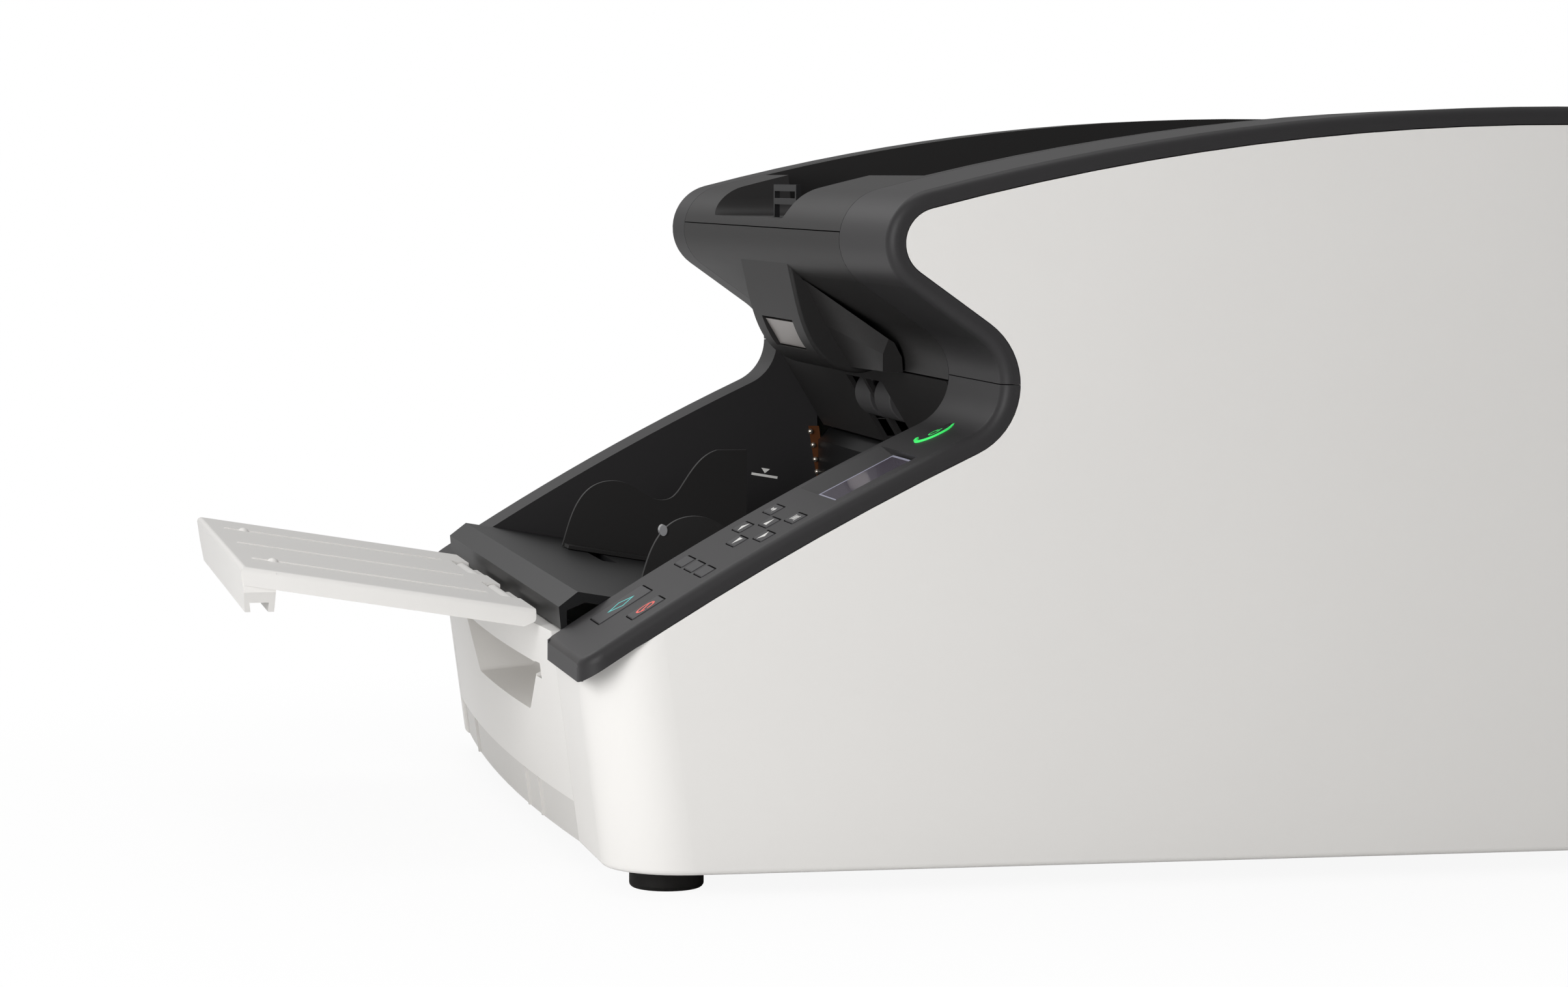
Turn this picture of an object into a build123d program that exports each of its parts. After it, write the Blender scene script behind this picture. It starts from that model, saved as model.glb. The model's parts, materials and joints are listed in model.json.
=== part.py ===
from build123d import *
import os
from math import acos, asin, atan2, cos, degrees, radians, sin, sqrt

# Sheet-fed document scanner with an S-shaped side, in millimetres.
# X runs to the operator's right, Y to the back, Z up. The sheets enter at the front between two arms
# and leave on top. The construction frame has Y = 0 at the end of the arms, and save() moves every
# piece back so that the origin lies at the bottom centre of the whole scanner.

# Overall sizes
body_width = 480.0
back_y = 552.0
body_bottom = 9.2
wall = 2.5
cover_wall = 3.0
joint_gap = 0.4
moving_gap = 0.6
run_clearance = 0.05
sheet_gap = 2.0

# Side curve of the white covers, from the back corner over the top to the arm
bend_y = 142.3
bend_z = 202.0
bend_r = 30.0
rise_angle = 35.4
bend_run = 35.1
nose_r = 14.0
crown_y = 405.0
crown_r = 1060.0
arm_r = 1257.0
arm_angle = 25.2
back_r = 65.0
trim_band = 7.6
trim_round = 4.5
arm_end_round = 10.0
left_arm_end_round = 9.0

# Front of the body
front_bottom_y = 9.5
front_top_y = -1.0
arm_end_y = -4.0
corner_r = 32.0
edge_r = 2.5
cover_flange = 12.0
front_cover_top = 97.5
front_bow = 6.0
strip_top = 27.0
strip_inset = 1.5
strip_thick = 2.0
strip_rib_count = 3
strip_rib_wide = 2.4

# Where the arms end inwards
control_arm_width = 88.0
left_arm_width = 36.0
mouth_back_y = 186.0
mouth_front_y = 164.6
mouth_front_z = 199.2
mouth_low_y = 187.5
arm_wall_bottom = 87.4

# Hand recess of the front cover
recess_top_half = 103.0
recess_bottom_half = 72.0
recess_top_z = 80.0
recess_bottom_z = 52.0
recess_deep = 24.0
recess_draft = 14.0
recess_x = 10.0

# Feet
foot_d = 30.0
foot_inset_x = 33.0
foot_front_y = 36.0
foot_back_y = 515.0

# Feed table and tray
table_front_y = 1.8
table_top_z = 113.5
table_lip_z = 98.1
table_edge_z = 107.4
table_chamfer_y = 8.8
table_slope = 9.5
table_back_y = 165.0
table_thick = 4.0
table_side_gap = 1.5
tray_length = 128.0
tray_tip_half = 130.0
tray_thick = 4.0
tray_edge_deep = 8.0
tray_hinge_r = 1.8
tray_knuckle_r = 3.3
tray_lip_drop = 20.0
tray_lip_wide = 15.0
tray_soft = 2.0
tray_ridge = 0.5
tray_ridge_pitch = 78.0
lift_travel = 40.0

# Paper guides
guide_side_room = 28.0
guide_travel = 100.0
guide_set_half = 106.0
guide_thick = 3.0
guide_height = 34.0
guide_front_y = 34.0
guide_back_y = 122.0
rack_wide = 5.0
pinion_r = 12.0
pinion_teeth = 16

# Path of the sheets inside
path_z = 160.0
turn_r = 65.0
turn_y = 425.0
shaft_r = 4.0
registration_y = 245.0
main_y = 375.0
retard_y = 212.0
pickup_y = 183.5
pickup_z = 184.4
roller_r = 10.0
feed_roller_r = 16.0
retard_r = 13.0
eject_r = 9.0
nip_gap = 0.4
sleeve_long = 34.0
sleeve_count = 4
feed_sleeve_long = 30.0
feed_sleeve_pitch = 40.0

# Hinge of the upper unit
hinge_y = 505.0
hinge_z = 284.0
hinge_pin_r = 5.0
knuckle_r = 22.8
plate_thick = 2.0

# Upper unit
front_seam_z = 261.4
grip_half = 54.0
flank_half = 100.0
lever_half = 34.0
lever_low_z = 206.5
lever_high_z = 220.0
shoulder_y = 150.0
well_front_z = 262.0
well_back_z = 285.0
outlet_y = 412.0
scoop_x = -50.0
scoop_half = 89.0
scoop_z = 265.5
scoop_round = 9.0
front_low_z = 200.0

# Control arm
key_wide = 17.0
key_long = 6.4
key_proud = 0.25
key_travel = 0.8
key_gap = 0.6
key_flange = 1.0
key_column_pitch = 21.7
key_column_inset = 22.0
start_key_inset = 28.5
stop_key_inset = 64.5
power_key_inset = 40.0
power_key_y = 149.0
display_y = 117.0
display_wide = 41.0
display_long = 36.0
display_deep = 3.5
window_thick = 1.5

# Back side and fittings
inlet_inset = 50.0
inlet_wide = 28.0
inlet_high = 20.0
inlet_z = 45.0
switch_inset = 88.0
switch_wide = 14.0
switch_high = 20.0
port_inset = 70.0
port_wide = 12.0
port_high = 11.0
port_z = 48.0
fan_inset = 36.0
fan_z = 150.0
fan_r = 28.0
fan_depth = 16.0
fan_blades = 7
screw_head_r = 3.5
screw_long = 8.0
screw_inset = 25.0
supply_wide = 115.0
supply_high = 68.0
board_side_room = 26.0

# Derived places
half_w = body_width / 2
right_in = half_w - control_arm_width
left_in = -half_w + left_arm_width
path_x = (right_in + left_in) / 2
guide_open_half = (right_in - left_in) / 2 - guide_side_room
guide_closed_half = guide_open_half - guide_travel
unit_right = right_in - moving_gap
unit_left = left_in + moving_gap
frame_right = right_in + 2 * plate_thick
frame_left = left_in - 2 * plate_thick
supply_left = frame_left + 8.0
supply_right = supply_left + supply_wide
board_left = supply_right + board_side_room - 1.0
board_right = frame_right - board_side_room
board_mid = (board_left + board_right) / 2
inlet_x = supply_left + inlet_inset
switch_x = supply_left + switch_inset
port_x = board_right - port_inset
fan_x = frame_right - fan_inset
plate_right = unit_right - wall - plate_thick
plate_left = unit_left + wall + plate_thick
flare = 90.0 - rise_angle
dip = 90.0 - arm_angle
nose_y = bend_y + (bend_r + nose_r) * cos(radians(flare)) - bend_run * cos(radians(rise_angle))
nose_z = bend_z + (bend_r + nose_r) * sin(radians(flare)) + bend_run * sin(radians(rise_angle))
crown_z = nose_z - sqrt((crown_r - nose_r) ** 2 - (crown_y - nose_y) ** 2)
back_c_y = back_y - back_r
back_c_z = crown_z + sqrt((crown_r - back_r) ** 2 - (back_c_y - crown_y) ** 2)
arm_c_y = bend_y + (bend_r + arm_r) * cos(radians(dip))
arm_c_z = bend_z - (bend_r + arm_r) * sin(radians(dip))
nose_start = degrees(atan2(nose_z - crown_z, nose_y - crown_y))
back_end = degrees(atan2(back_c_z - crown_z, back_c_y - crown_y))
arm_start = 180.0 - dip
seam_z = bend_z
turn_z = path_z + turn_r
tray_tip_y = -tray_length
origin_y = (tray_tip_y + back_y + trim_band) / 2

os.makedirs("parts", exist_ok=True)
part_names = []


def save(name, shape):
    """Write one piece as its own STEP file, moved into the part's own frame."""
    part_names.append(name)
    export_step(Pos(0, -origin_y, 0) * shape, "parts/" + name + ".step")


def on_circle(y, z, r, angle):
    return (y + r * cos(radians(angle)), z + r * sin(radians(angle)))


def arc(y, z, r, start, end):
    """Arc about (y, z) from one angle to another, in degrees."""
    middle = (start + end) / 2
    return ThreePointArc(on_circle(y, z, r, start), on_circle(y, z, r, middle), on_circle(y, z, r, end))


def slab(face, x0, x1):
    """A side-view face, drawn with Y across and Z up, made solid from x0 to x1."""
    return extrude(Plane.YZ.offset(min(x0, x1)) * face, amount=abs(x1 - x0))


def polygon(*points):
    return make_face(Polyline(*points, close=True))


def block(x0, x1, y0, y1, z0, z1):
    size = (abs(x1 - x0), abs(y1 - y0), abs(z1 - z0))
    return Pos((x0 + x1) / 2, (y0 + y1) / 2, (z0 + z1) / 2) * Box(*size)


def rod(x0, x1, y, z, r):
    """A round bar along X."""
    return slab(Pos(y, z) * Circle(r), x0, x1)


def arm_height(y, out):
    """Height of the arm's curve at y, for a surface that lies out from the white edge."""
    return arm_c_z + sqrt((arm_r + out) ** 2 - (y - arm_c_y) ** 2)


def crown_height(y, out):
    """Height of the top curve at y, for a surface that lies out from the white edge."""
    return crown_z + sqrt((crown_r + out) ** 2 - (y - crown_y) ** 2)


def seam_angle(out, z):
    """Angle on the bend's arc at height z."""
    return degrees(asin((z - bend_z) / (bend_r - out)))


def arm_end_angle(out):
    return degrees(acos((arm_end_y - arm_c_y) / (arm_r + out)))


def back_edges(out):
    """The back corner and the top curve, from the vertical back to the start of the nose."""
    corner = arc(back_c_y, back_c_z, back_r + out, 0, back_end)
    return [corner, arc(crown_y, crown_z, crown_r + out, back_end, nose_start)]


def nose_edges(out, start, lower_end):
    """The nose from an angle on it, the straight run under it and the bend down to an angle."""
    nose = arc(nose_y, nose_z, nose_r + out, start, 180 + flare)
    bend_top = on_circle(bend_y, bend_z, bend_r - out, flare)
    run = Line(on_circle(nose_y, nose_z, nose_r + out, 180 + flare), bend_top)
    return [nose, run, arc(bend_y, bend_z, bend_r - out, flare, lower_end)]


def arm_edges(out, start):
    """The bend from an angle down to the arm, and the arm to its end."""
    bend = arc(bend_y, bend_z, bend_r - out, start, -dip)
    return [bend, arc(arm_c_y, arm_c_z, arm_r + out, arm_start, arm_end_angle(out))]


def joined(front, back):
    """Face between two chains of edges, the second one run backwards."""
    ends = [Line(front[-1] @ 1, back[-1] @ 1), Line(front[0] @ 0, back[0] @ 0)]
    return make_face(front + back + ends)


def edges_near(solid, x, chain):
    """The solid's edges in the plane x whose middles lie on the middles of the chain's edges."""
    found = []
    for piece in chain:
        m = piece @ 0.5
        target = Vector(x, m.X, m.Y)
        found += [e for e in solid.edges() if (e @ 0.5 - target).length < 0.2]
    return found


def arm_plane(x, y, out=trim_band):
    """Plane on the arm's surface, its own Y up the slope and its Z out of the surface."""
    z = arm_height(y, out)
    angle = atan2(z - arm_c_z, y - arm_c_y)
    return Plane(origin=(x, y, z), x_dir=(1, 0, 0), z_dir=(0, cos(angle), sin(angle)))


# White side covers
def cover_profile(inset):
    """Side view of a white cover, drawn in by an even inset."""
    out = -inset
    lean = (front_top_y - front_bottom_y) / (arm_height(front_top_y, 0) - body_bottom)
    top_y = front_top_y + inset
    bottom_z = body_bottom + inset
    low_y = front_bottom_y + inset
    arm_end = degrees(acos((top_y - arm_c_y) / (arm_r + out)))
    chain = back_edges(out) + nose_edges(out, nose_start, -dip)
    chain.append(arc(arm_c_y, arm_c_z, arm_r + out, arm_start, arm_end))
    start = chain[0] @ 0
    end = chain[-1] @ 1
    chain.append(Line((end.X, end.Y), (low_y + lean * inset, bottom_z)))
    chain.append(Line((low_y + lean * inset, bottom_z), (start.X, bottom_z)))
    chain.append(Line((start.X, bottom_z), (start.X, start.Y)))
    return make_face(chain)


def side_cover(side):
    """Open shell with a rounded front corner; side is 1 on the right and -1 on the left."""
    outside = side * half_w
    inside = right_in if side > 0 else left_in
    solid = slab(cover_profile(0), inside, outside)
    corner = [e for e in solid.edges() if abs(abs((e @ 0.5).X) - half_w) < 0.01]
    front = sorted(corner, key=lambda e: (e @ 0.5).Y)[0]
    wide = min(corner_r, abs(outside - inside) - 1)
    solid = fillet(front, wide)
    hollow = slab(cover_profile(cover_wall), inside - side * 5, outside - side * cover_wall)
    corner = [e for e in hollow.edges() if abs(abs((e @ 0.5).X) - half_w + cover_wall) < 0.01]
    front = sorted(corner, key=lambda e: (e @ 0.5).Y)[0]
    hollow = fillet(front, wide - cover_wall)
    shell = solid - hollow
    deep = side * (half_w - cover_flange)
    reach = back_y + 20
    flange_cut = block(inside - side, deep, corner_r + 28, reach, 0, crown_height(crown_y, 0) + 20)
    front_top = block(inside - side, deep, front_top_y - 20, corner_r + 29, front_cover_top - 6, bend_z)
    wall_room = block(inside - side, inside + side * (wall + joint_gap), front_top_y - 20, 20.0, 85.3, bend_z)
    shell = shell - flange_cut - front_top - wall_room
    bottom = [e for e in shell.edges() if abs((e @ 0.5).Z - body_bottom) < 0.01]
    outer = [e for e in bottom if abs(abs((e @ 0.5).X) - half_w) < 0.01]
    return fillet(outer, edge_r - 0.3)


right_side_cover = side_cover(1)
left_side_cover = side_cover(-1)


# Black arms and upper trims
def end_edge(solid, x, y):
    """The short edge at an arm's end, in the plane x."""
    near = [e for e in solid.edges() if abs((e @ 0.5).X - x) < 0.01 and abs((e @ 0.5).Y - y) < 1.5]
    return [e for e in near if e.length < 20]


def hollow_band(chain_at, outside, inside, end_round=0):
    """A cover that follows the side curve: a top wall with an outer lip over the white edge."""
    side = 1 if outside > 0 else -1
    skin = slab(joined(chain_at(trim_band), chain_at(joint_gap)), inside, outside)
    room = slab(joined(chain_at(trim_band - wall), chain_at(-2.0)), inside - side, outside - side * wall)
    if end_round:
        tip = chain_at(trim_band)[-1] @ 1
        skin = fillet(end_edge(skin, outside, tip.X), end_round)
        room = fillet(end_edge(room, outside - side * wall, tip.X), end_round - wall)
    skin = fillet(edges_near(skin, outside, chain_at(trim_band)), trim_round)
    return skin - room


def arm_chain(out):
    return arm_edges(out, seam_angle(out, seam_z))


def trim_chain(out):
    low = seam_angle(out, seam_z + joint_gap)
    return back_edges(out) + nose_edges(out, nose_start, low)


def side_arm(side):
    """Lower arm: the curved cover, its end face and the wall beside the feed table."""
    outside = side * half_w
    inside = right_in if side > 0 else left_in
    end_round = arm_end_round if side > 0 else left_arm_end_round
    arm = hollow_band(arm_chain, outside, inside, end_round)
    end_top = arm_height(arm_end_y, trim_band - wall / 2)
    end_low = arm_height(arm_end_y, joint_gap)
    end = polygon(
        (arm_end_y, end_low),
        (arm_end_y, end_top),
        (arm_end_y + wall, arm_height(arm_end_y + wall, trim_band - wall / 2)),
        (arm_end_y + wall, end_low),
    )
    arm += slab(end, inside, outside - side * (end_round + 0.5))
    chain = arm_chain(trim_band - 0.2)
    top = chain[0] @ 0
    low = chain[-1] @ 1
    corner = (mouth_back_y - joint_gap, seam_z)
    rest = Polyline(
        (top.X, top.Y),
        corner,
        (mouth_back_y - joint_gap, arm_wall_bottom),
        (table_front_y + 2, arm_wall_bottom),
        (table_front_y + 2, end_low),
        (low.X, end_low),
        (low.X, low.Y),
    )
    inner = slab(make_face(chain + rest.edges()), inside, inside + side * wall)
    return arm + inner


def side_trim(side):
    """Upper trim: the curved cover from the bend over the nose to the back, and its inner wall."""
    outside = side * half_w
    inside = right_in if side > 0 else left_in
    trim = hollow_band(trim_chain, outside, inside)
    chain = [arc(crown_y, crown_z, crown_r + trim_band - 0.2, 90, nose_start)]
    chain += nose_edges(trim_band - 0.2, nose_start, seam_angle(trim_band - 0.2, seam_z + joint_gap))
    start = chain[0] @ 0
    end = chain[-1] @ 1
    deep_y = turn_y - turn_r
    wall_low = crown_height(crown_y, 0) - 36
    rest = Polyline(
        (end.X, end.Y),
        (mouth_back_y, end.Y),
        (mouth_back_y, seam_z + 44),
        (deep_y, wall_low),
        (start.X, wall_low),
        (start.X, start.Y),
    )
    return trim + slab(make_face(chain + rest.edges()), inside, inside + side * wall)


control_arm = side_arm(1)
left_arm = side_arm(-1)
right_upper_trim = side_trim(1)
left_upper_trim = side_trim(-1)


# Keys and display of the control arm
def key_set(name, x, y, wide, long, spread=1.3):
    """A key's cap, with a flange that holds it under the arm's wall, and the hole it slides in."""
    plane = arm_plane(x, y)
    cap_high = wall + key_proud + 0.3
    cap = Pos(0, 0, key_proud - cap_high / 2) * Box(wide, long, cap_high)
    cap = fillet(cap.edges().filter_by(Axis.Z), 1.0)
    cap = chamfer(cap.faces().sort_by(Axis.Z)[-1].edges(), 0.35)
    flange_z = key_proud - cap_high - key_flange / 2
    cap += Pos(0, 0, flange_z) * Box(wide + 2 * spread, long + 2 * spread, key_flange)
    hole = Box(wide + 2 * key_gap, long + 2 * key_gap, 4 * wall)
    hole = fillet(hole.edges().filter_by(Axis.Z), 1.0 + key_gap)
    keys[name] = plane * cap
    return plane * hole


keys = {}
key_holes = []
column = [right_in + key_column_inset + key_column_pitch * i for i in range(3)]
key_holes.append(key_set("menu_key_upper_left", column[0], 86.0, key_wide, key_long))
key_holes.append(key_set("menu_key_up", column[1], 79.8, key_wide, key_long))
key_holes.append(key_set("menu_key_upper_right", column[2], 86.0, key_wide, key_long))
key_holes.append(key_set("menu_key_left", column[0], 73.2, key_wide, key_long))
key_holes.append(key_set("menu_key_right", column[2], 73.2, key_wide, key_long))
key_holes.append(key_set("menu_key_down", column[1], 66.5, key_wide, key_long))
key_holes.append(key_set("function_key_left", column[0], 49.2, key_wide, key_long))
key_holes.append(key_set("function_key_middle", column[1], 49.2, key_wide, key_long))
key_holes.append(key_set("function_key_right", column[2], 49.2, key_wide, key_long))
key_holes.append(key_set("start_key", right_in + start_key_inset, 21.8, 23.0, 25.0))
key_holes.append(key_set("stop_key", right_in + stop_key_inset, 25.6, 15.0, 15.0))

power_plane = arm_plane(right_in + power_key_inset, power_key_y)
power_key_r = 7.5
power_cap = Pos(0, 0, 0.3 - (wall + 0.6) / 2) * Cylinder(power_key_r, wall + 0.6)
power_cap = chamfer(power_cap.faces().sort_by(Axis.Z)[-1].edges(), 0.3)
power_cap += Pos(0, 0, -wall - 0.3 - key_flange / 2) * Cylinder(power_key_r + 1.3, key_flange)
keys["power_key"] = power_plane * power_cap
key_holes.append(power_plane * Cylinder(power_key_r + key_gap, 4 * wall))

# The display lies in a sunk pocket that is open towards the arm's inner edge
display_x = right_in + 32.0 + display_wide / 2
display_plane = arm_plane(display_x, display_y)
pocket_left = right_in + 5.0 - display_x
pocket_floor = -display_wide / 2 - 6.0
pocket_right = display_wide / 2 + 1.0
pocket_long = display_long + 2.0


def across(points, long):
    """A section drawn across the arm, made solid along the arm and centred on the display."""
    face = make_face(Polyline(*points, close=True))
    section = Plane(origin=(0, -long / 2, 0), x_dir=(1, 0, 0), z_dir=(0, 1, 0))
    flipped = Plane(section.origin, x_dir=(1, 0, 0), z_dir=(0, -1, 0))
    return extrude(flipped * face, amount=-long)


pocket = across(
    [(pocket_left, 4), (pocket_left, 0.2), (pocket_floor, -display_deep),
     (pocket_right, -display_deep), (pocket_right, 4)],
    pocket_long,
)
boss = across(
    [(pocket_left, -wall / 2), (pocket_left, -wall), (pocket_floor - 2, -display_deep - wall),
     (pocket_right + wall, -display_deep - wall), (pocket_right + wall, -wall / 2)],
    pocket_long + 2 * wall,
)
window_seat = Pos(0, 0, -display_deep) * Box(display_wide - 4, display_long - 4, 4 * wall)
control_arm = control_arm + display_plane * boss
control_arm = control_arm - display_plane * pocket - display_plane * window_seat
for hole in key_holes:
    control_arm = control_arm - hole

window = Pos(0, 0, window_thick / 2 - display_deep) * Box(display_wide, display_long, window_thick)
window = chamfer(window.faces().sort_by(Axis.Z)[-1].edges(), 0.6)
display_window = display_plane * window

# Front cover with its hand recess, and the strip below it
def front_y_at(z):
    top_z = arm_height(front_top_y, 0)
    return front_bottom_y + (front_top_y - front_bottom_y) * (z - body_bottom) / (top_z - body_bottom)


front_right = right_in - joint_gap
front_left = left_in + joint_gap
front_half = (front_right - front_left) / 2
lean_angle = degrees(atan2(front_bottom_y - front_top_y, arm_height(front_top_y, 0) - body_bottom))
lean_plane = Plane(
    origin=(path_x, front_bottom_y, body_bottom),
    x_dir=(1, 0, 0),
    z_dir=(0, -sin(radians(lean_angle)), cos(radians(lean_angle))),
)


def bowed_front(inset, deep, z0, z1, half=front_half):
    """Solid behind the leaning, bowed front face, from z0 to z1 and back to a depth."""
    front = ThreePointArc((-half, inset), (0, inset - front_bow), (half, inset))
    sides = Polyline((half, inset), (half, deep), (-half, deep), (-half, inset))
    outline = make_face([front] + sides.edges())
    leaning = extrude(lean_plane * outline, amount=140.0)
    leaning += extrude(lean_plane * outline, amount=-30.0)
    return leaning & block(-half_w, half_w, -60, 120, z0, z1)


front_cover = bowed_front(0, 14.0, strip_top, front_cover_top)
front_cover -= bowed_front(cover_wall, 30.0, strip_top + cover_wall, front_cover_top - cover_wall,
                           front_half - cover_wall)


def recess_form(grow, deep):
    """The hand recess: a wide trapezium at the front that narrows and rises towards the back."""
    outlines = []
    for y, narrow, rise in ((-30.0, -recess_draft * 30.0 / recess_deep, 0.0), (deep, recess_draft, 9.0)):
        low = recess_bottom_z - grow + rise
        bottom = recess_bottom_half + grow - narrow
        top = recess_top_half + grow - narrow
        high = recess_top_z + grow
        face = make_face(Polyline(
            (recess_x - bottom, low),
            (recess_x + bottom, low),
            (recess_x + top, high),
            (recess_x - top, high),
            close=True,
        ))
        outlines.append(Plane(origin=(0, y, 0), x_dir=(1, 0, 0), z_dir=(0, -1, 0)) * face)
    return loft(outlines)


recess_back = front_top_y + recess_deep
recess_inner = recess_form(0, recess_back)
recess_round = [e for e in recess_inner.edges() if (e @ 0.5).Y > recess_back - 0.01]
low_round = [e for e in recess_inner.edges() if (e @ 0.5).Y < recess_back - 1]
recess_round += [e for e in low_round if (e @ 0.5).Z < recess_top_z - 2]
recess_inner = fillet(recess_round, 6.0)
recess_outer = recess_form(cover_wall, recess_back + cover_wall)
front_cover += recess_outer & bowed_front(0, 60.0, strip_top, front_cover_top)
front_cover -= recess_inner
front_cover -= block(recess_x + recess_top_half - 6, recess_x + recess_top_half + 5, -12, 4, recess_top_z - 6,
                     recess_top_z + 0.5)
front_cover = front_cover.solid()

front_strip = bowed_front(strip_inset, 10.0, body_bottom, strip_top - joint_gap, front_half)
front_strip -= bowed_front(strip_inset + strip_thick, 30.0, body_bottom - 5, strip_top - joint_gap - strip_thick,
                           front_half - strip_thick)
rib_room = bowed_front(0.2, 8.0, body_bottom + 0.6, strip_top - joint_gap)
for x in (-132.0, 42.0, 74.0):
    front_strip += rib_room & block(x - strip_rib_wide / 2, x + strip_rib_wide / 2, -60, 60, 0, strip_top)
strip_back = front_bottom_y + cover_wall + 3.1
front_strip -= block(-half_w, half_w, strip_back, strip_back + 40, 0, strip_top + 10)
front_strip = front_strip.solid()

# Base pan, feet and the steel frame that stands on the pan
pan_front = strip_back + joint_gap
pan_back = back_y - cover_wall - joint_gap
pan_half = half_w - cover_wall - joint_gap
pan_corner = corner_r - cover_wall
pan_z0 = body_bottom + cover_wall + 0.3
pan_z1 = pan_z0 + cover_wall
base_pan = block(-pan_half, pan_half, pan_front, pan_back, pan_z0, pan_z1)
base_pan = fillet(base_pan.edges().filter_by(Axis.Z).sort_by(Axis.Y)[:2], pan_corner)
for y in (74.0, 364.0):
    base_pan += block(frame_left + 1, frame_right - 1, y - 2, y + 2, pan_z1, pan_z1 + 8)

foot_places = [(sx * (half_w - foot_inset_x), y) for sx in (-1, 1) for y in (foot_front_y, foot_back_y)]
feet = []
for x, y in foot_places:
    foot = Pos(x, y, pan_z0 / 2) * Cylinder(foot_d / 2, pan_z0)
    feet.append(fillet(foot.edges().sort_by(Axis.Z)[0], 2.0).solid())
rubber_feet = Compound(feet)
for x, y in foot_places:
    hole = Pos(x, y, body_bottom) * Cylinder(foot_d / 2 + joint_gap, 3 * cover_wall)
    right_side_cover = right_side_cover - (hole if x > 0 else Pos(0, 0, -100) * hole)
    left_side_cover = left_side_cover - (hole if x < 0 else Pos(0, 0, -100) * hole)

plate_profile = polygon(
    (40.0, pan_z1),
    (40.0, arm_wall_bottom - 8),
    (mouth_back_y + 4, arm_wall_bottom - 8),
    (mouth_back_y + 4, path_z - 4),
    (440.0, path_z - 4),
    (hinge_y - 20, hinge_z - 12),
    (hinge_y - 12, hinge_z + 12),
    (hinge_y + 12, hinge_z + 12),
    (hinge_y + 16, hinge_z - 12),
    (525.0, 150.0),
    (525.0, pan_z1),
)
hinge_bore = rod(-half_w, half_w, hinge_y, hinge_z, hinge_pin_r)
shaft_places = [(retard_y, path_z - nip_gap / 2 - retard_r), (registration_y, path_z - nip_gap / 2 - roller_r)]
shaft_places.append((main_y, path_z - nip_gap / 2 - roller_r))
right_plate = slab(plate_profile, frame_right, frame_right + plate_thick)
left_plate = slab(plate_profile, frame_left - plate_thick, frame_left)
lower_frame = right_plate + left_plate
for y, z in ((60.0, 34.0), (330.0, 40.0), (hinge_y, supply_high + 16.0)):
    lower_frame += block(frame_left, frame_right, y - 8, y + 8, z - 1, z + 1)
lower_frame = lower_frame - hinge_bore
for y, z in shaft_places:
    lower_frame = lower_frame - rod(-half_w, half_w, y, z, shaft_r + run_clearance)
rail_y = 100.0
rail_wide = 12.0
rail_thick = 3.0
lift_rails = []
for x0, x1 in ((frame_right - rail_thick, frame_right), (frame_left, frame_left + rail_thick)):
    lift_rails.append(block(x0, x1, rail_y - rail_wide / 2, rail_y + rail_wide / 2, pan_z1, 76.0))
for rail in lift_rails:
    lower_frame += rail
lower_frame = lower_frame.solid()

hinge_pins = []
for x0, x1 in ((plate_right, frame_right + plate_thick + 3), (frame_left - plate_thick - 3, plate_left)):
    hinge_pins.append(rod(x0, x1, hinge_y, hinge_z, hinge_pin_r).solid())
hinge_pins = Compound(hinge_pins)

# Lower paper guide: the wall behind the feed table, the flat path and the outer side of the turn
guide_top = path_z - sheet_gap / 2
out_r = turn_r + sheet_gap / 2
turn_end = 38.0
lower_guide_face = make_face([
    Line((mouth_back_y, arm_wall_bottom), (mouth_back_y, guide_top - 6)),
    Line((mouth_back_y, guide_top - 6), (mouth_back_y + 6, guide_top)),
    Line((mouth_back_y + 6, guide_top), (turn_y, guide_top)),
    arc(turn_y, turn_z, out_r, -90, turn_end),
    Line(on_circle(turn_y, turn_z, out_r, turn_end), on_circle(turn_y, turn_z, out_r + wall, turn_end)),
    arc(turn_y, turn_z, out_r + wall, turn_end, -90),
    Line((turn_y, guide_top - wall), (mouth_back_y + wall + 5, guide_top - wall)),
    Line((mouth_back_y + wall + 5, guide_top - wall), (mouth_back_y + wall, guide_top - 8)),
    Line((mouth_back_y + wall, guide_top - 8), (mouth_back_y + wall, arm_wall_bottom)),
    Line((mouth_back_y + wall, arm_wall_bottom), (mouth_back_y, arm_wall_bottom)),
])
lower_guide = slab(lower_guide_face, unit_left, unit_right)
read_y = 290.0
read_half = 13.0
lower_guide -= block(unit_left + 18, unit_right - 18, read_y - read_half, read_y + read_half, path_z - 10, path_z)

sleeve_pitch = (unit_right - unit_left - 60) / (sleeve_count - 1)
sleeve_xs = [path_x + sleeve_pitch * (i - (sleeve_count - 1) / 2) for i in range(sleeve_count)]
feed_xs = [path_x - feed_sleeve_pitch / 2, path_x + feed_sleeve_pitch / 2]


def slot(xs, long, y, half_y, z0, z1):
    """Slots for a roller's sleeves, through the plate between z0 and z1."""
    cut = [block(x - long / 2 - 1.5, x + long / 2 + 1.5, y - half_y, y + half_y, z0, z1) for x in xs]
    return Compound([c.solid() for c in cut])


def roller(y, z, r, xs, long, x0, x1):
    """A steel shaft with rubber sleeves, as separate solids."""
    shaft = rod(x0, x1, y, z, shaft_r)
    pieces = [shaft.solid()]
    for x in xs:
        sleeve = rod(x - long / 2, x + long / 2, y, z, r)
        sleeve = chamfer(sleeve.edges().filter_by(GeomType.CIRCLE), 0.6)
        pieces.append((sleeve - rod(x0, x1, y, z, shaft_r)).solid())
    return Compound(pieces)


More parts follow.
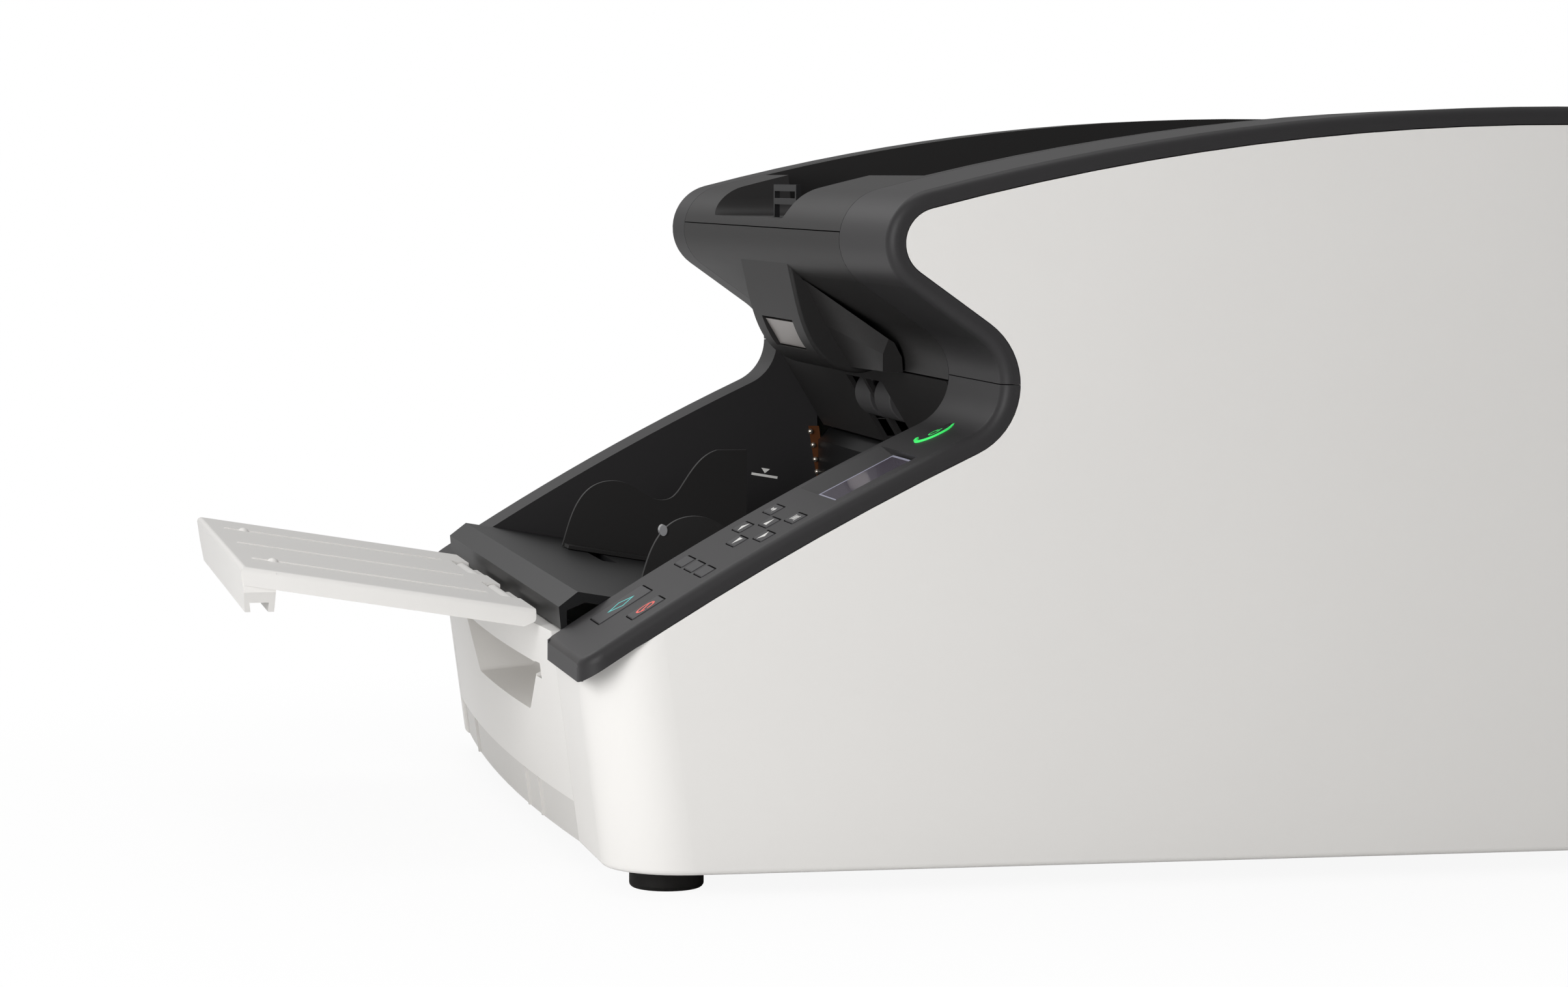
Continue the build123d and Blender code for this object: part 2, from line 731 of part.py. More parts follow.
shaft_left = frame_left - plate_thick - 3
shaft_right = frame_right + plate_thick + 14
low_roller_z = path_z - nip_gap / 2 - roller_r
retard_z = path_z - nip_gap / 2 - retard_r
for y in (registration_y, main_y):
    lower_guide -= slot(sleeve_xs, sleeve_long, y, roller_r, guide_top - 8, path_z)
lower_guide -= slot(feed_xs, feed_sleeve_long, retard_y, retard_r, guide_top - 8, path_z)
lower_guide = lower_guide.solid()
low_ends = (shaft_left, shaft_right)
registration_roller = roller(registration_y, low_roller_z, roller_r, sleeve_xs, sleeve_long, *low_ends)
main_roller = roller(main_y, low_roller_z, roller_r, sleeve_xs, sleeve_long, *low_ends)
retard_roller = roller(retard_y, retard_z, retard_r, feed_xs, feed_sleeve_long, *low_ends)

read_x0 = unit_left + 14
read_x1 = unit_right - 14
glass_thick = 2.5
lower_read_unit = block(read_x0, read_x1, read_y - 26, read_y + 26, path_z - 44, guide_top - wall - 0.3)
lower_read_unit -= block(read_x0 + 8, read_x1 - 8, read_y - 9, read_y + 9, path_z - 30, path_z)
lower_read_unit = chamfer(lower_read_unit.faces().sort_by(Axis.Z)[0].edges(), 4.0)
lower_scan_glass = block(read_x0 + 5, read_x1 - 5, read_y - 12.4, read_y + 12.4,
                         guide_top - wall - 0.3, guide_top - 0.1)

# Motor, belt, boards, power supply and fan
pulley_x0 = frame_right + plate_thick + 2.0
pulley_x1 = pulley_x0 + 9.0
pulley_r = 12.0
motor_pulley_r = 8.0
motor_y = 310.0
motor_z = 70.0
motor_r = 21.0


def pulley(y, z, r, bore):
    """A belt pulley with two rims."""
    wheel = rod(pulley_x0 + 1, pulley_x1 - 1, y, z, r)
    wheel += rod(pulley_x0, pulley_x0 + 1, y, z, r + 2)
    wheel += rod(pulley_x1 - 1, pulley_x1, y, z, r + 2)
    return wheel - rod(pulley_x0 - 1, pulley_x1 + 1, y, z, bore)


main_roller = Compound(main_roller.solids() + [pulley(main_y, low_roller_z, pulley_r, shaft_r).solid()])
registration_pulley = pulley(registration_y, low_roller_z, pulley_r, shaft_r).solid()
registration_roller = Compound(registration_roller.solids() + [registration_pulley])
motor_pulley = pulley(motor_y, motor_z, motor_pulley_r, 2.5)
motor_pulley += rod(frame_right - 8, pulley_x1 + 2, motor_y, motor_z, 2.5)
motor_pulley = motor_pulley.solid()

belt_gap = 0.15
belt_thick = 1.6


def belt_loop(grow):
    """Outline of the belt round its three pulleys."""
    y_r = Pos(registration_y, low_roller_z) * Circle(pulley_r + grow)
    y_m = Pos(main_y, low_roller_z) * Circle(pulley_r + grow)
    y_p = Pos(motor_y, motor_z) * Circle(motor_pulley_r + grow)
    return make_hull((y_r + y_m + y_p).edges())


belt_x0 = pulley_x0 + 1.3
belt_x1 = pulley_x1 - 1.3
drive_belt = slab(belt_loop(belt_gap + belt_thick), belt_x0, belt_x1)
drive_belt -= slab(belt_loop(belt_gap), belt_x0 - 1, belt_x1 + 1)

drive_motor = rod(frame_right - 44, frame_right, motor_y, motor_z, motor_r)
drive_motor -= rod(frame_right - 10, frame_right + 1, motor_y, motor_z, 2.5 + 0.4)
drive_motor = chamfer(drive_motor.faces().sort_by(Axis.X)[0].edges(), 2.0)
lower_frame = lower_frame - rod(frame_right - 1, frame_right + plate_thick + 1, motor_y, motor_z, 2.5 + 0.4)

board_thick = 1.6
board_z = pan_z1 + 6
board_back = back_y - cover_wall - 2
board_front = board_back - 167.0
board_top = board_z + board_thick
main_board = block(board_left, board_right, board_front, board_back, board_z, board_top)
for x in (board_left + 8, board_right - 8):
    for y in (board_front + 8, board_back - 17):
        main_board += block(x - 3, x + 3, y - 3, y + 3, pan_z1, board_z)
chips = [(-35.0, 70.0, 32.0, 32.0, 4.0), (25.0, 60.0, 20.0, 24.0, 3.0), (60.0, 100.0, 16.0, 40.0, 9.0)]
for dx, dy, w, l, h in chips:
    x = board_mid + dx
    y = board_front + dy
    main_board += block(x - w / 2, x + w / 2, y - l / 2, y + l / 2, board_z, board_top + h)
port_y0 = back_y - cover_wall - 18
main_board += block(port_x - port_wide / 2, port_x + port_wide / 2, port_y0, back_y - cover_wall - 1,
                    board_z + board_thick, port_z + port_high / 2)
main_board += block(port_x - port_wide / 2, port_x + port_wide / 2, port_y0, back_y - 0.5,
                    port_z - port_high / 2, port_z + port_high / 2)
main_board -= block(port_x - port_wide / 2 + 1.5, port_x + port_wide / 2 - 1.5, back_y - 9, back_y,
                    port_z - port_high / 2 + 1.5, port_z + port_high / 2 - 1.5)
main_board = main_board.solid()

supply_y1 = back_y - cover_wall - joint_gap
power_supply = block(supply_left, supply_right, 400.0, supply_y1 - 26, pan_z1, supply_high)
power_supply = chamfer(power_supply.faces().sort_by(Axis.Z)[-1].edges(), 2.0)
inlet_y0 = supply_y1 - 26
inlet = block(inlet_x - inlet_wide / 2, inlet_x + inlet_wide / 2, inlet_y0, back_y - 0.5,
              inlet_z - inlet_high / 2, inlet_z + inlet_high / 2)
inlet -= block(inlet_x - inlet_wide / 2 + 2.5, inlet_x + inlet_wide / 2 - 2.5, back_y - 16, back_y,
               inlet_z - inlet_high / 2 + 2.5, inlet_z + inlet_high / 2 - 2.5)
for dx in (-7.0, 0.0, 7.0):
    inlet += block(inlet_x + dx - 1, inlet_x + dx + 1, back_y - 17, back_y - 4, inlet_z - 2.5, inlet_z + 2.5)
power_supply = (power_supply + inlet).solid()

switch_axis_y = back_y - 5.0
switch_axis_z = inlet_z
switch_tilt = 7.0
rocker = slab(make_face([
    ThreePointArc((back_y, inlet_z - switch_high / 2 + 1.5), (back_y - 0.9, inlet_z),
                  (back_y, inlet_z + switch_high / 2 - 1.5)),
    Line((back_y, inlet_z + switch_high / 2 - 1.5), (switch_axis_y - 3, inlet_z + 4)),
    Line((switch_axis_y - 3, inlet_z + 4), (switch_axis_y - 3, inlet_z - 4)),
    Line((switch_axis_y - 3, inlet_z - 4), (back_y, inlet_z - switch_high / 2 + 1.5)),
]), switch_x - switch_wide / 2 + 1.2, switch_x + switch_wide / 2 - 1.2)
rocker = Pos(0, -switch_axis_y, -switch_axis_z) * rocker
power_switch = Pos(0, switch_axis_y, switch_axis_z) * Rot(-switch_tilt, 0, 0) * rocker
switch_pin_r = 1.2
switch_reach = switch_wide / 2 + 2.0
power_switch += rod(switch_x - switch_reach, switch_x + switch_reach, switch_axis_y, switch_axis_z, switch_pin_r)
power_switch = power_switch.solid()

# Rear cover with openings for the inlet, the switch, the port and the fan
rear_half = half_w - cover_flange - joint_gap
rear_top = back_c_z - joint_gap
rear_cover = block(-rear_half, rear_half, back_y - cover_wall, back_y, body_bottom, rear_top)
rear_cover -= block(inlet_x - inlet_wide / 2 - joint_gap, inlet_x + inlet_wide / 2 + joint_gap, back_y - 20, back_y + 1,
                    inlet_z - inlet_high / 2 - joint_gap, inlet_z + inlet_high / 2 + joint_gap)
rear_cover -= block(switch_x - switch_wide / 2, switch_x + switch_wide / 2, back_y - 20, back_y + 1,
                    inlet_z - switch_high / 2 - 1, inlet_z + switch_high / 2 + 1)
rear_cover -= block(port_x - port_wide / 2 - joint_gap, port_x + port_wide / 2 + joint_gap, back_y - 20, back_y + 1,
                    port_z - port_high / 2 - joint_gap, port_z + port_high / 2 + joint_gap)
for x0 in (switch_x - switch_reach - 0.5, switch_x + switch_wide / 2 + 0.3):
    rear_cover += block(x0, x0 + 2.2, switch_axis_y - 3, back_y - cover_wall, switch_axis_z - 3, switch_axis_z + 3)
rear_cover -= rod(switch_x - switch_reach - 1, switch_x + switch_reach + 1, switch_axis_y, switch_axis_z,
                  switch_pin_r + run_clearance)
vent_pitch = 7.0
vent_wide = 3.0
vent_count = 2 * int(fan_r / vent_pitch) + 1
for i in range(vent_count):
    dz = (i - (vent_count - 1) / 2) * vent_pitch
    reach = sqrt(max((fan_r - 1) ** 2 - dz ** 2, 25.0))
    rear_cover -= block(fan_x - reach, fan_x + reach, back_y - 20, back_y + 1,
                        fan_z + dz - vent_wide / 2, fan_z + dz + vent_wide / 2)
for i in range(9):
    x = supply_left + 30.0 + i * 10.0
    rear_cover -= block(x - vent_wide / 2, x + vent_wide / 2, back_y - 20, back_y + 1, 110.0, 160.0)
rear_cover = rear_cover.solid()

fan_y1 = back_y - cover_wall - 0.3
fan_y0 = fan_y1 - fan_depth
fan_axis = Plane(origin=(fan_x, (fan_y0 + fan_y1) / 2, fan_z), x_dir=(1, 0, 0), z_dir=(0, -1, 0))
fan_housing = Box(2 * fan_r + 4, 2 * fan_r + 4, fan_depth) - Cylinder(fan_r - 1, fan_depth + 1)
fan_housing = fillet(fan_housing.edges().filter_by(Axis.Z), 4.0)
hub_r = 10.0
fan_housing += Pos(0, 0, -fan_depth / 2 + 1) * (Box(2 * fan_r, 4, 2) + Box(4, 2 * fan_r, 2) + Cylinder(hub_r, 2))
fan_housing += Pos(0, 0, -fan_depth / 2 + 4) * Cylinder(2.0, 8)
fan_rotor = Pos(0, 0, 2) * Cylinder(hub_r, fan_depth - 5)
for i in range(fan_blades):
    blade = Pos((hub_r + fan_r - 3) / 2, 0, 2) * Rot(35, 0, 0) * Box(fan_r - hub_r - 2, 1.4, fan_depth - 7)
    fan_rotor += Rot(0, 0, i * 360 / fan_blades) * blade
fan_rotor -= Pos(0, 0, -fan_depth / 2 + 4) * Cylinder(2.0 + run_clearance, 8.6)
fan_housing = (fan_axis * fan_housing).solid()
fan_rotor = (fan_axis * fan_rotor).solid()

# Rear top cover between the trims, behind the knuckle of the upper unit
def top_strip(out, y0, y1):
    """The top curve from y0 back to y1 as one arc."""
    points = [(y, crown_height(y, out)) for y in (y0, (y0 + y1) / 2, y1)]
    return ThreePointArc(*points)


def from_rear(out, y0):
    """The top of the back corner from the rear seam, then the top curve forward to y0."""
    corner = arc(back_c_y, back_c_z, back_r + out, knuckle_start, back_end)
    first = corner @ 1
    return [corner, top_strip(out, first.X, y0)]


knuckle_start = 68.0
rear_seam_angle = 57.0
rear_skin = joined([arc(back_c_y, back_c_z, back_r + trim_band, 0, rear_seam_angle)],
                   [arc(back_c_y, back_c_z, back_r + trim_band - wall, 0, rear_seam_angle)])
rear_top_cover = slab(rear_skin, front_left, front_right)
rear_top_cover += block(front_left, front_right, back_y - 6, back_y + trim_band - wall + 0.1,
                        back_c_z, back_c_z + wall)
rear_top_cover = rear_top_cover.solid()

# Upper unit: the cover over the turn with its outlet, and the knuckle that closes the rear seam
outlet_z0 = turn_z + turn_r - 2.0
outlet_z1 = turn_z + turn_r + 6.0
wall_right = plate_right + plate_thick
wall_left = plate_left - plate_thick
lip_z = outlet_z1 + wall
outer_high = from_rear(trim_band, outlet_y)
outer_low = from_rear(trim_band - wall, outlet_y)
outlet_skin = joined(outer_high, outer_low)
knuckle_face = joined([arc(hinge_y, hinge_z, knuckle_r, 15, 100)],
                      [arc(hinge_y, hinge_z, knuckle_r - wall, 15, 100)])
outlet_front = polygon(
    (outlet_y, outlet_z1),
    (outlet_y, crown_height(outlet_y, trim_band - wall / 2)),
    (outlet_y + wall, crown_height(outlet_y + wall, trim_band - wall / 2)),
    (outlet_y + wall, outlet_z1),
)
turn_guide_start = turn_end + 1.5
turn_face = make_face([
    arc(turn_y, turn_z, out_r, turn_guide_start, 90),
    Line((turn_y, turn_z + out_r), (outlet_y + wall, outlet_z1)),
    Line((outlet_y + wall, outlet_z1), (outlet_y + wall, lip_z)),
    Line((outlet_y + wall, lip_z), (turn_y, turn_z + out_r + wall)),
    arc(turn_y, turn_z, out_r + wall, 90, turn_guide_start),
    Line(on_circle(turn_y, turn_z, out_r + wall, turn_guide_start),
         on_circle(turn_y, turn_z, out_r, turn_guide_start)),
])
cheek = polygon(
    (outlet_y + 1, outlet_z1 + 1),
    (outlet_y + 1, crown_height(outlet_y, trim_band - wall / 2)),
    (hinge_y - 45, crown_height(hinge_y - 45, trim_band - wall / 2)),
    on_circle(hinge_y, hinge_z, knuckle_r - wall / 2, 100),
    on_circle(hinge_y, hinge_z, knuckle_r - wall / 2, 60),
    on_circle(hinge_y, hinge_z, knuckle_r - wall / 2, 20),
    (hinge_y + 12, hinge_z - 8),
    (hinge_y - 12, hinge_z - 12),
    on_circle(turn_y, turn_z, out_r + 3, turn_guide_start + 2),
    on_circle(turn_y, turn_z, out_r + 3, 60),
    on_circle(turn_y, turn_z, out_r + 3, 75),
)
outlet_cover = slab(outlet_skin, unit_left, unit_right)
outlet_cover += slab(knuckle_face, unit_left, unit_right)
outlet_cover += slab(outlet_front, unit_left, unit_right)
outlet_cover += slab(turn_face, plate_left, plate_right)
for x0, x1 in ((unit_left, wall_left), (wall_right, unit_right)):
    outlet_cover += slab(cheek, x0, x1)
outlet_cover -= rod(-half_w, half_w, hinge_y, hinge_z, hinge_pin_r + run_clearance)

# Upper unit: eject tray with its rims and the scoop in its front rim
nose_seam_angle = 180 - degrees(asin((front_seam_z - nose_z) / (nose_r + trim_band)))
tray_end_y = outlet_y - joint_gap
well_front_y = shoulder_y + 8
well_right = unit_right - 11.0
well_left = unit_left + 11.0
floor_slope = (well_back_z - well_front_z) / (outlet_y - well_front_y)


def nose_to(out, y0, angle):
    """The top curve from y0 forward to the nose, and the nose down to an angle."""
    crown = top_strip(out, y0, on_circle(crown_y, crown_z, crown_r + out, nose_start)[0])
    return [crown, arc(nose_y, nose_z, nose_r + out, nose_start, angle)]


def floor_z(y):
    return well_front_z + (y - well_front_y) * floor_slope


rim_chain = nose_to(trim_band, tray_end_y, nose_seam_angle - 0.6)
rim_end = rim_chain[-1] @ 1
rim_start = rim_chain[0] @ 0
tray_low = Polyline(
    (rim_end.X, rim_end.Y),
    (well_front_y, rim_end.Y),
    (well_front_y, floor_z(well_front_y) - wall),
    (tray_end_y, floor_z(tray_end_y) - wall),
    (rim_start.X, rim_start.Y),
)
eject_tray = slab(make_face(rim_chain + tray_low.edges()), unit_left, unit_right)
well = polygon(
    (well_front_y, floor_z(well_front_y)),
    (shoulder_y + 2, 340.0),
    (outlet_y + 10, 340.0),
    (outlet_y + 10, floor_z(outlet_y + 10)),
)
eject_tray -= slab(well, well_left, well_right)
under_rim = [top_strip(trim_band - wall, tray_end_y - wall, well_front_y + 4)]
low_left = Polyline(
    (well_front_y + 4, crown_height(well_front_y + 4, trim_band - wall)),
    (well_front_y + 4, floor_z(well_front_y + 4) - 20),
    (tray_end_y - wall, floor_z(tray_end_y - wall) - 20),
    (tray_end_y - wall, crown_height(tray_end_y - wall, trim_band - wall)),
)
rim_room = make_face(under_rim + low_left.edges())
eject_tray -= slab(rim_room, unit_left + wall, well_left - wall)
eject_tray -= slab(rim_room, well_right + wall, unit_right - wall)
front_room = make_face([
    arc(nose_y, nose_z, nose_r + trim_band - wall, nose_start, nose_seam_angle),
    Line(on_circle(nose_y, nose_z, nose_r + trim_band - wall, nose_seam_angle), (nose_y, front_seam_z - 2)),
    Line((nose_y, front_seam_z - 2), (well_front_y - wall, front_seam_z - 2)),
    Line((well_front_y - wall, front_seam_z - 2), (well_front_y - wall - 3, crown_height(shoulder_y, 0))),
    Line((well_front_y - wall - 3, crown_height(shoulder_y, 0)),
         on_circle(nose_y, nose_z, nose_r + trim_band - wall, nose_start)),
])
scoop_left = scoop_x - scoop_half
scoop_right = scoop_x + scoop_half
eject_tray -= slab(front_room, unit_left + wall, scoop_left - wall)
eject_tray -= slab(front_room, scoop_right + wall, unit_right - wall)
scoop_face = make_face(Polyline(
    (scoop_left + 4, scoop_z),
    (scoop_right - 6, scoop_z),
    (scoop_right + 10, 330.0),
    (scoop_left - 4, 330.0),
    close=True,
))
scoop_plane = Plane(origin=(0, well_front_y + 30, 0), x_dir=(1, 0, 0), z_dir=(0, -1, 0))
scoop_cut = extrude(scoop_plane * scoop_face, amount=90.0)
low_edges = [e for e in scoop_cut.edges().filter_by(Axis.Y) if (e @ 0.5).Z < scoop_z + 1]
scoop_cut = fillet(low_edges, scoop_round)
ramp = slab(polygon(
    (nose_y - 40, scoop_z),
    (nose_y - 12, scoop_z - 0.1),
    (well_front_y + 1, floor_z(well_front_y + 1)),
    (well_front_y + 34, floor_z(well_front_y + 34)),
    (well_front_y + 34, 340.0),
    (nose_y - 40, 340.0),
), scoop_left - 30, scoop_right + 30)
eject_tray -= scoop_cut & ramp
flap_y0 = nose_y - 6.0
flap_y1 = nose_y + 18.0
flap_half = 20.0
flap_thick = 2.0
flap_axis_y = flap_y1 - 2.0
flap_axis_z = scoop_z - 3.2
flap_well = block(path_x - flap_half - 4, path_x + flap_half + 4, flap_y0 - 1, flap_y1 + 2,
                  flap_axis_z - 2.0, scoop_z + 10)
eject_tray -= flap_well
eject_tray -= rod(path_x - flap_half - 7.3, path_x + flap_half + 7.3, flap_axis_y, flap_axis_z, 1.5 + run_clearance)
eject_tray = eject_tray.solid() if len(eject_tray.solids()) == 1 else eject_tray

eject_stopper = block(path_x - flap_half, path_x + flap_half, flap_y0, flap_axis_y,
                      flap_axis_z - flap_thick / 2, flap_axis_z + flap_thick / 2)
eject_stopper = fillet(eject_stopper.edges().filter_by(Axis.Z).sort_by(Axis.Y)[:2], 5.0)
eject_stopper += rod(path_x - flap_half - 7, path_x + flap_half + 7, flap_axis_y, flap_axis_z, 1.5)
eject_stopper = eject_stopper.solid()

# Upper unit: front cover with the grip and its release lever
low_seam_angle = seam_angle(trim_band, front_low_z)
skin_chain = nose_edges(trim_band, nose_seam_angle + 0.6, low_seam_angle)
skin_inner = nose_edges(trim_band - wall, nose_seam_angle + 0.6, low_seam_angle)
upper_front_cover = slab(joined(skin_chain, skin_inner), unit_left, unit_right)
cheek_chain = nose_edges(trim_band - wall / 2, nose_seam_angle + 0.6, low_seam_angle)
c0 = cheek_chain[0] @ 0
c1 = cheek_chain[-1] @ 1
cheek_rest = Polyline(
    (c1.X, c1.Y),
    (c1.X + 8, c1.Y),
    (c1.X + 8, c1.Y + 40),
    (well_front_y - 4, c0.Y - 1),
    (c0.X, c0.Y),
)
cheek_face = make_face(cheek_chain + cheek_rest.edges())
for x0, x1 in ((unit_left, wall_left), (wall_right, unit_right)):
    upper_front_cover += slab(cheek_face, x0, x1)


def grip_outline(inset):
    """Side view of the grip's beak, drawn in by an inset."""
    beak = Spline(
        (121.0 + inset * 0.9, 248.0 - inset),
        (127.0 + inset, 223.0),
        (137.5 + inset * 0.8, 204.0 + inset * 0.6),
        (150.0, 197.5 + inset),
        (163.5, 199.5 + inset),
    )
    back = Polyline(
        (163.5, 199.5 + inset),
        (163.0, 206.0),
        (156.0, 218.0),
        (128.5, 238.6),
        (121.0 + inset * 0.9, 248.0 - inset),
    )
    return make_face([beak] + back.edges())


flank_full = polygon(
    (128.0, 239.5),
    (138.5, 219.0),
    (150.5, 199.8),
    (163.5, 199.6),
    (163.0, 206.0),
    (155.0, 219.0),
)
flank_small = polygon(
    (157.0, 214.0),
    (154.5, 207.5),
    (154.5, 200.0),
    (163.5, 199.6),
    (163.0, 206.0),
    (159.5, 212.5),
)
flank_root = grip_half - 2.0
for side in (-1, 1):
    near = Plane.YZ.offset(path_x + side * flank_root) * flank_full
    far = Plane.YZ.offset(path_x + side * flank_half) * flank_small
    upper_front_cover += loft([near, far])
housing = slab(grip_outline(0), path_x - grip_half, path_x + grip_half)
beak_ends = [e for e in housing.edges() if abs(abs((e @ 0.5).X - path_x) - grip_half) < 0.01 and e.length > 40]
beak_ends = [e for e in beak_ends if e.geom_type == GeomType.BSPLINE]
housing = fillet(beak_ends, 1.6)
upper_front_cover += housing
grip_room = slab(polygon(
    (127.5, 236.0),
    (131.0, 222.0),
    (140.0, 207.0),
    (150.0, 202.0),
    (161.0, 203.0),
    (165.0, 212.0),
    (160.0, 222.0),
    (140.0, 238.0),
), path_x - grip_half + 3, path_x + grip_half - 3)
upper_front_cover -= grip_room
lever_window = block(path_x - lever_half, path_x + lever_half, 110.0, 145.0, lever_low_z, lever_high_z)
upper_front_cover -= lever_window

lever_axis_y = 141.0
lever_axis_z = 226.0
lever_face = polygon(
    (129.6, lever_high_z - 1.2),
    (136.6, lever_low_z + 0.6),
    (141.5, lever_low_z + 0.6),
    (141.5, 215.0),
    (144.0, lever_axis_z),
    (138.0, lever_axis_z),
    (135.5, lever_high_z - 1.2),
)
open_lever = slab(lever_face, path_x - lever_half + 0.8, path_x + lever_half - 0.8)
lever_pin_x = grip_half - 3 + 2.0
open_lever += rod(path_x - lever_half - 8, path_x + lever_half + 8, lever_axis_y, lever_axis_z, 3.0)
open_lever = open_lever.solid()
for side in (-1, 1):
    x0 = path_x + side * (lever_half + 4)
    x1 = path_x + side * (lever_half + 8)
    lug = block(x0, x1, lever_axis_y - 6, lever_axis_y + 6, lever_axis_z - 6, 240.0)
    lug_shape = polygon((120, 215), (175, 215), (175, 226), (134, 242), (125, 244))
    lug = lug & slab(lug_shape, x0, x1)
    upper_front_cover += lug
upper_front_cover -= rod(path_x - lever_half - 9, path_x + lever_half + 9, lever_axis_y, lever_axis_z,
                         3.0 + run_clearance)

# Upper unit: side plates, inner guide with the drum, rollers and the upper reading unit
upper_plate = polygon(
    (168.5, 206.0),
    (168.5, 199.5),
    (mouth_low_y + 3.0, path_z + 4),
    (425.0, path_z + 4),
    on_circle(turn_y, turn_z, turn_r - 4, -60),
    on_circle(turn_y, turn_z, turn_r - 4, -30),
    on_circle(turn_y, turn_z, turn_r - 4, 0),
    on_circle(turn_y, turn_z, turn_r - 4, 22),
    (473.0, 262.0),
    (475.0, 272.0),
    (hinge_y - 12, hinge_z - 14),
    (hinge_y + 10, hinge_z - 12),
    (hinge_y + 14, hinge_z),
    (hinge_y + 10, hinge_z + 14),
    (hinge_y - 4, hinge_z + 18),
    (420.0, 300.0),
    (420.0, 278.0),
    (411.0, 276.0),
    (170.0, 254.0),
)
upper_frame = slab(upper_plate, plate_right, plate_right + plate_thick)
upper_frame += slab(upper_plate, plate_left - plate_thick, plate_left)
upper_frame += block(plate_left, plate_right, 226.0, 246.0, 206.0, 208.0)
upper_frame += block(plate_left, plate_right, 400.0, 420.0, 206.0, 208.0)
upper_frame -= rod(-half_w, half_w, hinge_y, hinge_z, hinge_pin_r + run_clearance)

in_r = turn_r - sheet_gap / 2
guide_low = path_z + sheet_gap / 2
drum_end = 94.0
upper_guide_face = make_face([
    Line((mouth_front_y, mouth_front_z), (mouth_low_y, guide_low)),
    Line((mouth_low_y, guide_low), (turn_y, guide_low)),
    arc(turn_y, turn_z, in_r, -90, drum_end),
    Line(on_circle(turn_y, turn_z, in_r, drum_end), on_circle(turn_y, turn_z, in_r - wall, drum_end)),
    arc(turn_y, turn_z, in_r - wall, drum_end, -90),
    Line((turn_y, guide_low + wall), (mouth_low_y + 1.1, guide_low + wall)),
    Line((mouth_low_y + 1.1, guide_low + wall), (mouth_front_y + 2.5, mouth_front_z)),
    Line((mouth_front_y + 2.5, mouth_front_z), (mouth_front_y, mouth_front_z)),
])
upper_guide = slab(upper_guide_face, plate_left, plate_right)
upper_read_y = 333.0
upper_guide -= block(read_x0 + 4, read_x1 - 4, upper_read_y - read_half, upper_read_y + read_half,
                     path_z, path_z + 10)
upper_read_unit = block(read_x0, read_x1, upper_read_y - 22, upper_read_y + 22, guide_low + wall + 0.3, path_z + 40)
upper_read_unit -= block(read_x0 + 8, read_x1 - 8, upper_read_y - 9, upper_read_y + 9, path_z, path_z + 26)
upper_read_unit = chamfer(upper_read_unit.faces().sort_by(Axis.Z)[-1].edges(), 4.0)
upper_scan_glass = block(read_x0 + 5, read_x1 - 5, upper_read_y - 12.4, upper_read_y + 12.4,
                         guide_low + 0.1, guide_low + wall + 0.3)

feed_z = path_z + nip_gap / 2 + feed_roller_r
idler_z = path_z + nip_gap / 2 + roller_r
eject_y = outlet_y + 5.0
eject_z = turn_z + turn_r - sheet_gap / 2 - eject_r
up_x0 = plate_left - plate_thick
up_x1 = plate_right + plate_thick
pickup_roller = roller(pickup_y, pickup_z, roller_r + 1, feed_xs, feed_sleeve_long, up_x0, up_x1)
feed_roller = roller(retard_y, feed_z, feed_roller_r, feed_xs, feed_sleeve_long, up_x0, up_x1)
main_idler = roller(main_y, idler_z, roller_r, sleeve_xs, sleeve_long, up_x0, up_x1)
eject_roller = roller(eject_y, eject_z, eject_r, sleeve_xs, sleeve_long, up_x0, up_x1)
for y, z in ((pickup_y, pickup_z), (retard_y, feed_z), (main_y, idler_z), (eject_y, eject_z)):
    upper_frame -= rod(-half_w, half_w, y, z, shaft_r + run_clearance)
upper_frame = upper_frame.solid()
upper_guide -= slot(feed_xs, feed_sleeve_long, retard_y, feed_roller_r + 1, path_z, path_z + 12)
upper_guide -= slot(feed_xs, feed_sleeve_long, pickup_y - 3, roller_r + 5, path_z, pickup_z + 8)
upper_guide -= slot(sleeve_xs, sleeve_long, main_y, roller_r, path_z, path_z + 8)
upper_guide -= slot(sleeve_xs, sleeve_long, eject_y, eject_r + 1.5, eject_z - 3, eject_z + 14)
upper_guide = upper_guide.solid()
eject_tray -= slot(sleeve_xs, sleeve_long, eject_y, eject_r + 1.5, eject_z - 12, eject_z + 14)
eject_tray = eject_tray.solid() if len(eject_tray.solids()) == 1 else eject_tray

# Feed table with the two paper guides and their pinion
table_left = left_in + table_side_gap
table_right = right_in - table_side_gap
table_drop = sin(radians(table_slope)) / cos(radians(table_slope))


def table_z(y):
    return table_top_z - (y - table_chamfer_y) * table_drop


table_mid_y = 85.0
table_plane = Plane(
    origin=(path_x, table_mid_y, table_z(table_mid_y)),
    x_dir=(1, 0, 0),
    z_dir=(0, sin(radians(table_slope)), cos(radians(table_slope))),
)
feed_table = slab(polygon(
    (table_front_y, table_lip_z),
    (table_front_y - 0.9, table_edge_z),
    (table_chamfer_y, table_top_z),
    (table_back_y, table_z(table_back_y)),
    (table_back_y, table_z(table_back_y) - table_thick),
    (table_chamfer_y + 3, table_top_z - table_thick - 0.5),
    (table_front_y + wall, table_edge_z - 1.5),
    (table_front_y + wall, table_lip_z),
), table_left, table_right)
leg_front = -26.0
leg_back = 26.0
leg_wide = 6.0
leg_long = 8.0
for side in (-1, 1):
    for v in (leg_front, leg_back):
        x0 = side * (guide_closed_half - 2.0)
        x1 = side * (guide_open_half + leg_long + 2.0)
        run = Pos((x0 + x1) / 2, v, 0) * Box(abs(x1 - x0), leg_wide + 1.2, 20.0)
        feed_table -= table_plane * run
